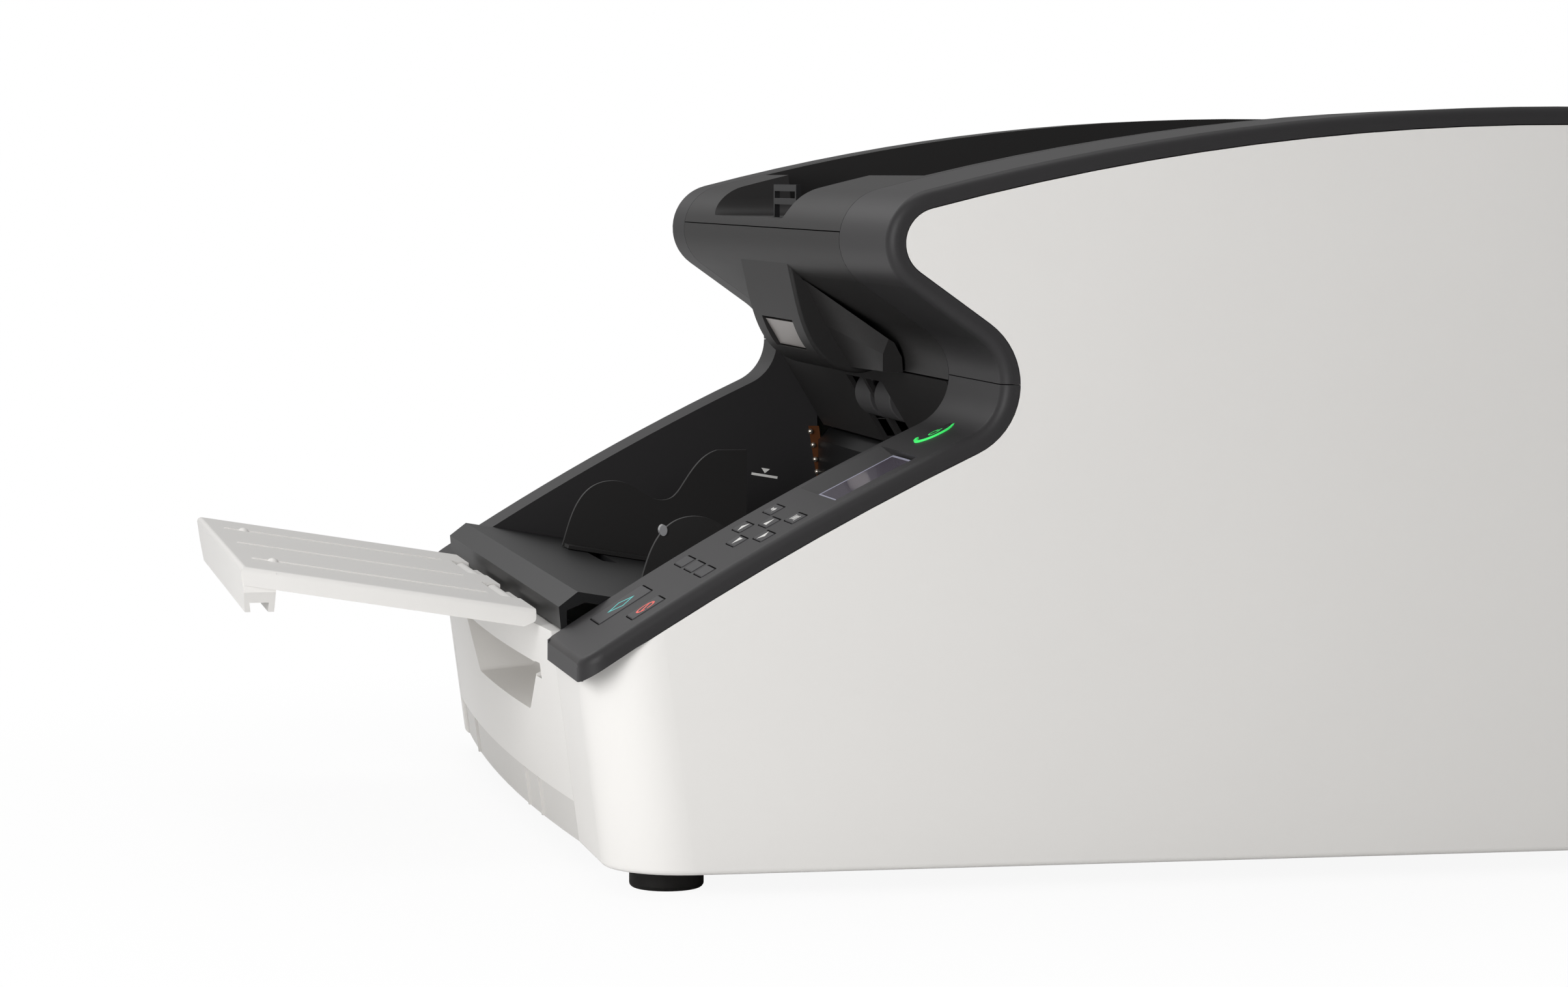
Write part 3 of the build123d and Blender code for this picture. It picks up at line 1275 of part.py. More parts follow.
post_r = 3.0
feed_table += table_plane * Pos(0, 0, -table_thick - 5.0) * Cylinder(post_r, 10.0 + 0.4)
bracket_y0 = rail_y - 12.0
bracket_y1 = rail_y + 12.0
shoe_low = pan_z1 + 2.5
shoe_high = shoe_low + 20.0
bracket_low = (bracket_y1, table_z(bracket_y1) - table_thick / 2)
bracket_face = polygon(
    (bracket_y0, shoe_low),
    (bracket_y0, table_z(bracket_y0) - table_thick / 2),
    bracket_low,
    (bracket_y1, shoe_low),
)
for side in (-1, 1):
    inner = frame_right - rail_thick - 0.4 if side > 0 else frame_left + rail_thick + 0.4
    edge = table_right if side > 0 else table_left
    feed_table += slab(bracket_face, edge, edge - side * 3.0)
    for y0 in (rail_y - rail_wide / 2 - run_clearance - 4, rail_y + rail_wide / 2 + run_clearance):
        shoe = block(edge - side * 1, inner + side * (rail_thick - 0.2), y0, y0 + 4, shoe_low, shoe_high)
        feed_table += shoe
feed_table = feed_table.solid() if len(feed_table.solids()) == 1 else feed_table

rack_z = -table_thick - 4.6
guide_pinion = Cylinder(pinion_r, 4.0) - Cylinder(post_r + run_clearance, 5.0)
for i in range(pinion_teeth):
    notch = Pos(pinion_r, 0, 0) * Box(2.2, 2.0, 5.0)
    guide_pinion -= Rot(0, 0, i * 360 / pinion_teeth) * notch
guide_pinion = table_plane * Pos(0, 0, rack_z) * guide_pinion
guide_pinion = guide_pinion.solid()


def paper_guide(side):
    """Fence, foot, legs and rack; side is 1 on the right and -1 on the left."""
    x0 = path_x + side * guide_set_half
    x1 = x0 + side * guide_thick
    hump = [(46.0, 108.0), (49.0, 118.0), (53.5, 128.5), (60.0, 135.7), (71.0, 138.6), (81.0, 135.4), (91.0, 129.6)]
    hump += [(98.0, 129.8), (104.5, 136.8), (111.0, 146.0), (121.0, 152.9)]
    fence_face = make_face(Spline(*hump).edges() + Polyline(
        (121.0, 152.9),
        (135.5, 152.9),
        (135.5, table_z(135.5) + 0.4),
        (46.0, table_z(46.0) + 0.4),
        (46.0, 108.0),
    ).edges())
    guide = slab(fence_face, x0, x1)
    foot_in = -side * 14.0
    foot_x = side * guide_set_half + foot_in / 2 + side * guide_thick / 2
    guide += table_plane * Pos(foot_x, 4.0, 1.2) * Box(14.0 + guide_thick, 86.0, 1.6)
    for v in (leg_front, leg_back):
        leg_x = side * (guide_set_half + leg_long / 2 - 2)
        guide += table_plane * Pos(leg_x, v, (rack_z - 2.0 + 2.0) / 2) * Box(leg_long, leg_wide, 2.0 - (rack_z - 2.0))
    v = side * (pinion_r + 0.4 + rack_wide / 2)
    rack_end = -side * (12.0 + guide_open_half - guide_set_half)
    rack_start = side * (guide_set_half + leg_long - 2)
    rack_mid = (rack_start + rack_end) / 2
    guide += table_plane * Pos(rack_mid, v, rack_z) * Box(abs(rack_start - rack_end), rack_wide, 4.0)
    tie_x = side * (guide_set_half + leg_long / 2 - 2)
    tie_start = pinion_r + 0.4
    tie_mid = side * (tie_start + leg_back) / 2
    guide += table_plane * Pos(tie_x, tie_mid, rack_z) * Box(leg_long, leg_back - tie_start, 4.0)
    return guide.solid()


right_guide = paper_guide(1)
left_guide = paper_guide(-1)

# Feed tray on its rod, with the two brackets of the front cover
tray_rise = (124.1 - 104.2) / (128.1 - 3.4)
rod_y = -9.0
rod_z = 101.2
bracket_xs = ((-84.0, -22.0), (22.0, 84.0))


def tray_z(y):
    return 104.2 + (-3.4 - y) * tray_rise


tray_root_y = -5.4
tip_y = tray_tip_y
tray_side = polygon(
    (tray_root_y, tray_z(tray_root_y)),
    (tip_y, tray_z(tip_y)),
    (tip_y + 2.0, tray_z(tip_y) - tray_edge_deep),
    (rod_y - 1.5, tray_z(rod_y - 1.5) - tray_edge_deep),
    (tray_root_y, tray_z(tray_root_y) - 5),
)
feed_tray = slab(tray_side, -tray_tip_half, tray_tip_half)
tray_rims = [e for e in feed_tray.edges() if abs((e @ 0.5).Z - tray_z((e @ 0.5).Y)) < 0.01]
tray_rims = [e for e in tray_rims if abs(abs((e @ 0.5).X) - tray_tip_half) < 0.01 or (e @ 0.5).Y < tip_y + 1]
feed_tray = fillet(tray_rims, tray_soft)
root_swing = tray_root_y - rod_y
root_cut = block(-half_w, half_w, rod_y, rod_y + 20, rod_z - 20, rod_z)
feed_tray -= root_cut - rod(-half_w, half_w, rod_y, rod_z, root_swing)
tray_room = polygon(
    (tray_root_y - 6 - wall, tray_z(tray_root_y - 6 - wall) - wall),
    (tip_y + wall + 1, tray_z(tip_y + wall + 1) - wall),
    (tip_y + wall + 1, tray_z(tip_y) - 20),
    (tray_root_y - 6 - wall, tray_z(tray_root_y) - 20),
)
feed_tray -= slab(tray_room, -tray_tip_half + wall, tray_tip_half - wall)
lip_high = tray_z(tip_y) - 3
lip_low = tray_z(tip_y) - tray_lip_drop
lip_back_y = tip_y + tray_lip_wide


def lip_outline(low):
    """Front view of the handle at the tray's tip, narrower at the bottom."""
    return make_face(Polyline(
        (-tray_tip_half, lip_high),
        (tray_tip_half, lip_high),
        (tray_tip_half - 1.0, lip_high - tray_edge_deep),
        (tray_tip_half - 10.0, low),
        (-tray_tip_half + 10.0, low),
        (-tray_tip_half + 1.0, lip_high - tray_edge_deep),
        close=True,
    ))


lip_plane = Plane(origin=(0, lip_back_y + 5, 0), x_dir=(1, 0, 0), z_dir=(0, -1, 0))
lip_block = slab(polygon(
    (tip_y + 0.75, lip_high),
    (tip_y + 3.0, lip_low),
    (lip_back_y, lip_low),
    (lip_back_y, lip_high),
), -tray_tip_half, tray_tip_half)
lip_block = lip_block & extrude(lip_plane * lip_outline(lip_low), amount=30.0)
lip_room = slab(polygon(
    (tip_y + wall, lip_high - 2.0),
    (tip_y + 3.0 + wall, lip_low - 1),
    (lip_back_y - wall, lip_low - 1),
    (lip_back_y - wall, lip_high - 2.0),
), -tray_tip_half + 3.0, tray_tip_half - 3.0)
lip_block -= lip_room & extrude(lip_plane * offset(lip_outline(lip_low - 12), -wall), amount=30.0)
end_cut = block(-tray_tip_half, tray_tip_half, tip_y + 3.0 + wall, lip_back_y - wall, lip_low - 1, lip_low + 2.0)
feed_tray += lip_block - end_cut
for x in (-tray_ridge_pitch, 0.0, tray_ridge_pitch):
    ridge = polygon(
        (tray_root_y - 12, tray_z(tray_root_y - 12) - 0.5),
        (tray_root_y - 14, tray_z(tray_root_y - 14) + tray_ridge),
        (tip_y + 10, tray_z(tip_y + 10) + tray_ridge),
        (tip_y + 8, tray_z(tip_y + 8) - 0.5),
    )
    feed_tray += slab(ridge, x - 0.8, x + 0.8)
for x in (-tray_ridge_pitch, tray_ridge_pitch):
    feed_tray += Pos(x, tip_y + 18, tray_z(tip_y + 18) - 1.6) * Sphere(3.0)
for x0, x1 in bracket_xs:
    feed_tray -= block(x0 - 0.5, x1 + 0.5, rod_y - 5, 5.0, rod_z - 12, rod_z + 5)
knuckles = ((-96.0, -84.5), (-21.5, -8.0), (8.0, 21.5), (84.5, 96.0))
for x0, x1 in knuckles:
    lug = rod(x0, x1, rod_y, rod_z, tray_knuckle_r)
    lug += block(x0, x1, rod_y - tray_knuckle_r, rod_y + 1, rod_z, tray_z(rod_y) - 1)
    feed_tray += lug
feed_tray -= rod(-100.0, 100.0, rod_y, rod_z, tray_hinge_r + run_clearance)
feed_tray = feed_tray.solid() if len(feed_tray.solids()) == 1 else feed_tray
tray_rod = rod(-97.0, 97.0, rod_y, rod_z, tray_hinge_r)
hinge_pins = Compound(hinge_pins.solids() + [tray_rod.solid()])
for x0, x1 in bracket_xs:
    bracket = rod(x0, x1, rod_y, rod_z, tray_knuckle_r)
    bracket += block(x0, x1, rod_y - tray_knuckle_r + 1, rod_y + 1, rod_z - 2.4, rod_z)
    bracket += block(x0, x1, rod_y, -1.5, front_cover_top - 0.5, rod_z)
    front_cover += bracket
front_cover -= rod(-100.0, 100.0, rod_y, rod_z, tray_hinge_r)
front_cover = front_cover.solid()

# Screws of the rear cover
screw_x = half_w - screw_inset
screw_places = [(x, z) for x in (-screw_x, screw_x) for z in (30.0, 120.0, 215.0)]
screws = []
for x, z in screw_places:
    y_axis = Plane(origin=(x, back_y, z), x_dir=(1, 0, 0), z_dir=(0, -1, 0))
    head = Pos(0, 0, -0.9) * Cylinder(screw_head_r, 1.8)
    head -= Pos(0, 0, -1.5) * Box(4.6, 0.9, 1.6)
    head -= Pos(0, 0, -1.5) * Box(0.9, 4.6, 1.6)
    shank = Pos(0, 0, screw_long / 2) * Cylinder(1.5, screw_long)
    screws.append((y_axis * (head + shank)).solid())
    rear_cover = rear_cover - y_axis * Pos(0, 0, 1) * Cylinder(1.5, 8)
cover_screws = Compound(screws)
rear_cover = rear_cover.solid()

save("base_pan", base_pan)
save("rubber_feet", rubber_feet)
save("right_side_cover", right_side_cover)
save("left_side_cover", left_side_cover)
save("front_cover", front_cover)
save("front_strip", front_strip)
save("rear_cover", rear_cover)
save("rear_top_cover", rear_top_cover)
save("control_arm", control_arm)
save("left_arm", left_arm)
save("right_upper_trim", right_upper_trim)
save("left_upper_trim", left_upper_trim)
save("display_window", display_window)
save("lower_frame", lower_frame)
save("hinge_pins", hinge_pins)
save("lower_guide", lower_guide)
save("lower_read_unit", lower_read_unit)
save("lower_scan_glass", lower_scan_glass)
save("registration_roller", registration_roller)
save("main_roller", main_roller)
save("retard_roller", retard_roller)
save("drive_motor", drive_motor)
save("motor_pulley", motor_pulley)
save("drive_belt", drive_belt)
save("main_board", main_board)
save("power_supply", power_supply)
save("power_switch", power_switch)
save("fan_housing", fan_housing)
save("fan_rotor", fan_rotor)
save("cover_screws", cover_screws)
save("feed_tray", feed_tray)
save("feed_table", feed_table)
save("right_guide", right_guide)
save("left_guide", left_guide)
save("guide_pinion", guide_pinion)
save("upper_front_cover", upper_front_cover)
save("eject_tray", eject_tray)
save("outlet_cover", outlet_cover)
save("upper_frame", upper_frame)
save("upper_guide", upper_guide)
save("upper_read_unit", upper_read_unit)
save("upper_scan_glass", upper_scan_glass)
save("open_lever", open_lever)
save("eject_stopper", eject_stopper)
save("pickup_roller", pickup_roller)
save("feed_roller", feed_roller)
save("main_idler", main_idler)
save("eject_roller", eject_roller)
for key_name in keys:
    save(key_name, keys[key_name])
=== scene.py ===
import json
import math

import bpy
import numpy as np
from mathutils import Matrix, Vector


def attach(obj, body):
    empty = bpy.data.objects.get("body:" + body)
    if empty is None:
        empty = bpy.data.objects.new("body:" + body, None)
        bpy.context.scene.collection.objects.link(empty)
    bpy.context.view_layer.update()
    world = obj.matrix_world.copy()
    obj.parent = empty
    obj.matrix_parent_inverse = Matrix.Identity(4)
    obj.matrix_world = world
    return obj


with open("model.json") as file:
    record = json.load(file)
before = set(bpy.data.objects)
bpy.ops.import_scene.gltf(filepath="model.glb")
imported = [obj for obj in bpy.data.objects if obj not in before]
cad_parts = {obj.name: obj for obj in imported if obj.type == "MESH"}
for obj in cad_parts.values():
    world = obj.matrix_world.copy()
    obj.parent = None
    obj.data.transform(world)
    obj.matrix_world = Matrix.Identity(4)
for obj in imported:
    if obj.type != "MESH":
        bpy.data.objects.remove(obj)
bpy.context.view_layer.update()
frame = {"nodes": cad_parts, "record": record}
nodes = frame["nodes"]


def srgb(r, g, b):
    """Screen values from 0 to 255 as the linear colour a shader takes."""
    linear = []
    for value in (r, g, b):
        v = value / 255.0
        linear.append(v / 12.92 if v <= 0.04045 else ((v + 0.055) / 1.055) ** 2.4)
    return (*linear, 1.0)


def set_inputs(node, values):
    """Give a shader node's inputs their values by name."""
    for name, value in values.items():
        node.inputs[name].default_value = value


def plain_finish(name, color, rough, metal=0.0, coat=0.0, coat_rough=0.2, shine=0.5, clear=0.0):
    """A smooth finish with one colour."""
    made = bpy.data.materials.new(name)
    made.use_nodes = True
    set_inputs(made.node_tree.nodes["Principled BSDF"], {
        "Base Color": color,
        "Roughness": rough,
        "Metallic": metal,
        "Coat Weight": coat,
        "Coat Roughness": coat_rough,
        "Specular IOR Level": shine,
        "Transmission Weight": clear,
    })
    return made


def moulded_finish(name, color, rough, grain, depth, metal=0.0, shine=0.5):
    """Moulded plastic: fine spark-eroded grain as a bump, and a faint change of tone, both on Object
    coordinates."""
    grain_height = 0.0002
    grain_detail = 3.0
    tone_scale = 9.0
    tone_shift = 0.012
    made = plain_finish(name, color, rough, metal=metal, shine=shine)
    tree = made.node_tree
    shader = tree.nodes["Principled BSDF"]
    spot = tree.nodes.new("ShaderNodeTexCoord")
    noise = tree.nodes.new("ShaderNodeTexNoise")
    set_inputs(noise, {"Scale": grain, "Detail": grain_detail})
    tree.links.new(spot.outputs["Object"], noise.inputs["Vector"])
    bump = tree.nodes.new("ShaderNodeBump")
    set_inputs(bump, {"Strength": depth, "Distance": grain_height})
    tree.links.new(noise.outputs["Fac"], bump.inputs["Height"])
    tree.links.new(bump.outputs["Normal"], shader.inputs["Normal"])
    wide = tree.nodes.new("ShaderNodeTexNoise")
    set_inputs(wide, {"Scale": tone_scale})
    tree.links.new(spot.outputs["Object"], wide.inputs["Vector"])
    ramp = tree.nodes.new("ShaderNodeValToRGB")
    darker, paler = ramp.color_ramp.elements
    darker.color = tuple(max(0.0, c * (1 - tone_shift)) for c in color[:3]) + (1.0,)
    paler.color = tuple(min(1.0, c * (1 + tone_shift)) for c in color[:3]) + (1.0,)
    tree.links.new(wide.outputs["Fac"], ramp.inputs["Fac"])
    tree.links.new(ramp.outputs["Color"], shader.inputs["Base Color"])
    return made


def glow_finish(name, color, glow):
    """A plain finish that also glows a little in its own colour."""
    made = plain_finish(name, color, rough=0.35)
    shader = made.node_tree.nodes["Principled BSDF"]
    set_inputs(shader, {"Emission Color": color, "Emission Strength": glow})
    return made


# Plastics and rubbers with a moulded grain
body_white = srgb(233, 231, 228)
white_body = moulded_finish("white_body", body_white, rough=0.42, grain=900, depth=0.05, shine=0.35)
front_white = srgb(214, 212, 209)
strip_white = moulded_finish("strip_white", front_white, rough=0.45, grain=900, depth=0.05, shine=0.3)
grey_trim = moulded_finish("grey_trim", srgb(47, 46, 47), rough=0.46, grain=1400, depth=0.14, shine=0.22)
# grey_upper is the same dark plastic as grey_trim, made darker as painted shade on the parts that take it
grey_upper = moulded_finish("grey_upper", srgb(41, 40, 40), rough=0.48, grain=1400, depth=0.14, shine=0.22)
dark_guide = moulded_finish("dark_guide", srgb(26, 26, 27), rough=0.42, grain=1200, depth=0.10, shine=0.25)
key_grey = moulded_finish("key_grey", srgb(50, 49, 51), rough=0.40, grain=1600, depth=0.10, shine=0.25)
black_plastic = moulded_finish("black_plastic", srgb(26, 26, 27), rough=0.45, grain=1200, depth=0.10)
foot_rubber = moulded_finish("foot_rubber", srgb(24, 23, 22), rough=0.62, grain=1800, depth=0.2, shine=0.2)
roller_rubber = moulded_finish("roller_rubber", srgb(58, 57, 58), rough=0.7, grain=1500, depth=0.2)
zinc_plate = moulded_finish("zinc_plate", srgb(176, 178, 180), rough=0.36, grain=300, depth=0.05, metal=0.9)

# Smooth finishes
belt_rubber = plain_finish("belt_rubber", srgb(24, 24, 24), rough=0.8)
silver_lever = plain_finish("silver_lever", srgb(176, 171, 168), rough=0.38, metal=0.55)
steel_pin = plain_finish("steel_pin", srgb(190, 190, 192), rough=0.28, metal=1.0)
board_green = plain_finish("board_green", srgb(34, 92, 58), rough=0.4)
display_glass = plain_finish("display_glass", srgb(98, 92, 104), rough=0.12, coat=0.5, coat_rough=0.05)
read_glass = plain_finish("read_glass", srgb(150, 176, 170), rough=0.05, clear=0.8)
pinion_white = plain_finish("pinion_white", srgb(216, 214, 206), rough=0.45)
# Pale colour of the line round the display's window: a painted highlight
rim_highlight = plain_finish("rim_highlight", srgb(176, 176, 196), rough=0.25)
copper = plain_finish("copper", srgb(128, 78, 46), rough=0.35, metal=0.6)
stud_metal = plain_finish("stud_metal", srgb(226, 214, 200), rough=0.2, metal=0.9)
tab_clear = plain_finish("tab_clear", srgb(150, 150, 152), rough=0.15, coat=0.6)

# Prints, which glow a little as painted light that brightens them, and the power key's lens and sign, which
# are really lit
print_white = glow_finish("print_white", srgb(222, 221, 218), glow=0.12)
print_teal = glow_finish("print_teal", srgb(70, 190, 186), glow=0.22)
print_red = glow_finish("print_red", srgb(232, 84, 70), glow=0.22)
lens_green = glow_finish("lens_green", srgb(60, 214, 100), glow=0.75)

# The finish of each material slot, and the two pieces that have another one
finishes = {
    "white_body": white_body,
    "strip_white": strip_white,
    "grey_trim": grey_trim,
    "grey_upper": grey_upper,
    "dark_guide": dark_guide,
    "guide_grey": grey_upper,
    "key_grey": key_grey,
    "window": display_glass,
    "steel": steel_pin,
    "zinc_plate": zinc_plate,
    "roller": roller_rubber,
    "belt": belt_rubber,
    "foot_rubber": foot_rubber,
    "glass": read_glass,
    "silver": silver_lever,
    "motor_black": black_plastic,
    "board_green": board_green,
    "supply_metal": zinc_plate,
    "black_plastic": black_plastic,
    "pinion_white": pinion_white,
}
slot_of = {piece["node"]: piece["material_slot"] for piece in frame["record"]["subparts"]}
slot_of["upper_guide"] = "grey_upper"
slot_of["front_strip"] = "strip_white"
for name, node in nodes.items():
    finish = finishes[slot_of[name]]
    if not node.material_slots:
        node.data.materials.append(finish)
    for slot in node.material_slots:
        slot.material = finish

# The detail pieces are drawn in millimetres, with Y from a line 4 mm behind the front end of the arms. In
# the scanner's own frame that line lies at drawing_y, in metres.
drawing_y = -0.2158

# Measures of the solids that the detail pieces sit on, in the drawing's millimetres and degrees
half_width = 240.0
control_arm_width = 88.0
left_arm_width = 36.0
bend_y = 142.3
bend_z = 202.0
bend_radius = 30.0
arm_radius = 1257.0
arm_angle = 25.2
trim_band = 7.6
table_slope = 9.5
key_proud = 0.25
key_column_inset = 22.0
key_column_pitch = 21.7
upper_row_y = 86.0
up_row_y = 79.8
side_row_y = 73.2
down_row_y = 66.5
start_key_inset = 28.5
start_key_y = 21.8
stop_key_inset = 64.5
stop_key_y = 25.6
power_key_inset = 40.0
power_key_y = 149.0
display_inset = 32.0
display_wide = 41.0
display_y = 117.0

wall_right = half_width - control_arm_width
wall_left = left_arm_width - half_width
dip = math.radians(90.0 - arm_angle)
arm_center_y = bend_y + (bend_radius + arm_radius) * math.cos(dip)
arm_center_z = bend_z - (bend_radius + arm_radius) * math.sin(dip)
key_column = [wall_right + key_column_inset + key_column_pitch * i for i in range(3)]

across_x = np.array((1.0, 0.0, 0.0))
back_y = np.array((0.0, 1.0, 0.0))
up_z = np.array((0.0, 0.0, 1.0))


def arm_frame(x, y):
    """Origin and three directions on the control arm's top at x and y: across, up its slope and out of it.
    The top is an arc about the arm's centre, whose radius is the arm's radius plus the trim's band."""
    z = arm_center_z + math.sqrt((arm_radius + trim_band) ** 2 - (y - arm_center_y) ** 2)
    angle = math.atan2(z - arm_center_z, y - arm_center_y)
    outward = np.array((0.0, math.cos(angle), math.sin(angle)))
    return np.array((x, y, z)), across_x, np.cross(outward, across_x), outward


def wall_frame(x):
    """Origin and three directions on a left-hand inner wall at x: to the back, up and out to the right."""
    return np.array((x, 0.0, 0.0)), back_y, up_z, across_x


def to_metres(points):
    """Drawing millimetres to the part's metres: a thousandth of each, and Y from the scanner's middle."""
    moved = np.asarray(points, float) * 0.001
    moved[:, 1] += drawing_y
    return moved


def rectangle(u0, v0, u1, v1):
    """The four corners between two opposite ones, anticlockwise."""
    return [(u0, v0), (u1, v0), (u1, v1), (u0, v1)]


def ring_points(radius, start, end, steps):
    """Points (r cos a, r sin a) for a from start to end, in degrees."""
    a = np.radians(np.linspace(start, end, steps))
    return np.stack((radius * np.cos(a), radius * np.sin(a)), axis=1)


def turned_by(outline, degrees):
    """An outline turned anticlockwise: (u cos a - v sin a, u sin a + v cos a)."""
    a = math.radians(degrees)
    return np.asarray(outline) @ np.array(((math.cos(a), math.sin(a)), (-math.sin(a), math.cos(a))))


def flat_shape(outline, where, low, high):
    """An anticlockwise outline (u, v) in a frame, origin + u across + v along, carried out from low to high:
    its base, its top and a side on each of its edges."""
    origin, across, along, outward = where
    uv = np.asarray(outline, float)
    flat = origin + uv[:, :1] * across + uv[:, 1:] * along
    n = len(uv)
    verts = np.vstack((flat + low * outward, flat + high * outward))
    faces = [list(range(n - 1, -1, -1)), list(range(n, 2 * n))]
    faces += [[i, (i + 1) % n, n + (i + 1) % n, n + i] for i in range(n)]
    return verts, faces


def tube_faces(rows, columns, closed=False):
    """Quads between each row of points and the next, all round its columns. Where the tube is closed, the
    last row joins the first."""
    row = np.arange(rows if closed else rows - 1)[:, None]
    column = np.arange(columns)[None, :]
    next_row = (row + 1) % rows
    next_column = (column + 1) % columns
    corners = ((row, column), (row, next_column), (next_row, next_column), (next_row, column))
    quads = np.stack([r * columns + c for r, c in corners], axis=-1)
    return quads.reshape(-1, 4).tolist()


def line_shape(points, width, where, low, high, closed=False):
    """A flat bar carried along a path in a frame. Its corners at point p are p - m w / 2 and p + m w / 2,
    each low and high. There w is the width and m the sum of the normals of the stretches before and after
    p, over one plus the cosine between them."""
    least_spread = 0.4
    origin, across, along, outward = where
    p = np.asarray(points, float)
    before = np.roll(p, 1, axis=0)
    after = np.roll(p, -1, axis=0)
    if not closed:
        before[0] = 2 * p[0] - p[1]
        after[-1] = 2 * p[-1] - p[-2]
    step_in = (p - before) / np.linalg.norm(p - before, axis=1)[:, None]
    step_out = (after - p) / np.linalg.norm(after - p, axis=1)[:, None]
    normal_in = np.stack((-step_in[:, 1], step_in[:, 0]), axis=1)
    normal_out = np.stack((-step_out[:, 1], step_out[:, 0]), axis=1)
    mean = normal_in + normal_out
    mean /= np.maximum((mean * normal_in).sum(axis=1), least_spread)[:, None]
    right = p - mean * width / 2
    left = p + mean * width / 2
    sides = np.stack((right, left, left, right), axis=1)
    heights = np.array((low, low, high, high))[None, :, None]
    verts = origin + sides[..., :1] * across + sides[..., 1:] * along + heights * outward
    faces = tube_faces(len(p), 4, closed)
    if not closed:
        last = 4 * len(p) - 4
        faces += [[3, 2, 1, 0], [last, last + 1, last + 2, last + 3]]
    return verts.reshape(-1, 3), faces


def dome_shape(center, radius, rings=7, steps=16):
    """Half a ball that bulges along X: rings of radius r cos b, lifted by r sin b, for b from 0 to 90
    degrees, on a flat base."""
    b = np.radians(np.linspace(0.0, 90.0, rings))[:, None]
    a = np.linspace(0.0, 2 * np.pi, steps, endpoint=False)[None, :]
    x = center[0] + radius * np.sin(b) + 0 * a
    y = center[1] + radius * np.cos(b) * np.cos(a)
    z = center[2] + radius * np.cos(b) * np.sin(a)
    faces = tube_faces(rings, steps)
    faces.append(list(range(steps - 1, -1, -1)))
    return np.stack((x, y, z), axis=-1).reshape(-1, 3), faces


def make_piece(name, shapes, finish, body, smooth=False):
    """Shapes in drawing millimetres as one mesh at the origin that rides one of the scanner's bodies."""
    verts, faces, start = [], [], 0
    for points, corners in shapes:
        verts.append(points)
        faces += [[start + i for i in face] for face in corners]
        start += len(points)
    mesh = bpy.data.meshes.new(name)
    mesh.from_pydata(to_metres(np.vstack(verts)).tolist(), [], faces)
    mesh.materials.append(finish)
    if smooth:
        mesh.polygons.foreach_set("use_smooth", [True] * len(mesh.polygons))
    made = bpy.data.objects.new(name, mesh)
    bpy.context.scene.collection.objects.link(made)
    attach(made, body)


# A sign starts just inside the key's top and stands a little proud of it
sign_low = key_proud - 0.02
sign_high = key_proud + 0.03


def key_sign(name, outlines, x, y, body):
    """White sign of one or more outlines on the key whose middle is at x and y."""
    where = arm_frame(x, y)
    shapes = [flat_shape(outline, where, sign_low, sign_high) for outline in outlines]
    make_piece(name, shapes, print_white, body)


# Arrows on four of the menu keys
arrow = [(-2.9, -2.1), (2.9, -2.1), (0.0, 2.4)]
arrow_keys = {
    "up": (key_column[1], up_row_y, 0),
    "left": (key_column[0], side_row_y, 90),
    "down": (key_column[1], down_row_y, 180),
    "right": (key_column[2], side_row_y, 270),
}
for side, (x, y, degrees) in arrow_keys.items():
    key_sign("arrow_" + side, [turned_by(arrow, degrees)], x, y, "menu_key_" + side)

# Signs on the other two menu keys: slanted bars between two posts, and three steps with an arrow head
slant = np.array([(0.0, -1.4), (0.8, -1.4), (1.5, 1.4), (0.7, 1.4)])
bars = [slant + (u, 0.0) for u in (-2.6, -1.0, 0.6)]
bars += [rectangle(-4.2, -1.8, -3.5, 1.8), rectangle(3.0, -1.8, 3.7, 1.8)]
key_sign("bars_icon", bars, key_column[2], upper_row_y, "menu_key_upper_right")
steps = [rectangle(-3.4, -0.5, -2.2, 0.9), rectangle(-1.6, -0.9, -0.6, 0.5), rectangle(-0.1, -0.5, 0.9, 0.9)]
steps.append([(1.5, -1.5), (3.6, 0.0), (1.5, 1.5)])
key_sign("steps_icon", steps, key_column[0], upper_row_y, "menu_key_upper_left")

# Diamond on the start key, and ring with a stroke on the stop key
sign_line = 1.0
diamond_half_wide = 5.0
diamond_half_long = 5.8
stop_ring_radius = 3.9
stop_ring_end = 345
stroke_reach = 2.3
start_key = arm_frame(wall_right + start_key_inset, start_key_y)
diamond = [
    (0.0, -diamond_half_long),
    (diamond_half_wide, 0.0),
    (0.0, diamond_half_long),
    (-diamond_half_wide, 0.0),
]
start_sign = line_shape(diamond, sign_line, start_key, sign_low, sign_high, closed=True)
make_piece("start_icon", [start_sign], print_teal, "start_key")
stop_key = arm_frame(wall_right + stop_key_inset, stop_key_y)
stop_ring = ring_points(stop_ring_radius, 0, stop_ring_end, 24)
stop_stroke = [(-stroke_reach, stroke_reach), (stroke_reach, -stroke_reach)]
stop_sign = [line_shape(path, sign_line, stop_key, sign_low, sign_high) for path in (stop_ring, stop_stroke)]
make_piece("stop_icon", stop_sign, print_red, "stop_key")

# Lit ring round part of the power key, and the power sign on the key
lens_radius = 8.55
lens_wide = 1.3
lens_start = -132
lens_end = 66
lens_low = -0.6
lens_high = 0.62
power_key = arm_frame(wall_right + power_key_inset, power_key_y)
lens_path = ring_points(lens_radius, lens_start, lens_end, 40)
lens = line_shape(lens_path, lens_wide, power_key, lens_low, lens_high)
make_piece("power_lens", [lens], lens_green, "chassis")
power_radius = 2.5
power_line = 0.55
power_low = 0.28
power_high = 0.35
power_paths = (ring_points(power_radius, 120, 420, 24), [(0.0, 1.0), (0.0, 3.6)])
power_sign = [line_shape(path, power_line, power_key, power_low, power_high) for path in power_paths]
make_piece("power_mark", power_sign, lens_green, "power_key")
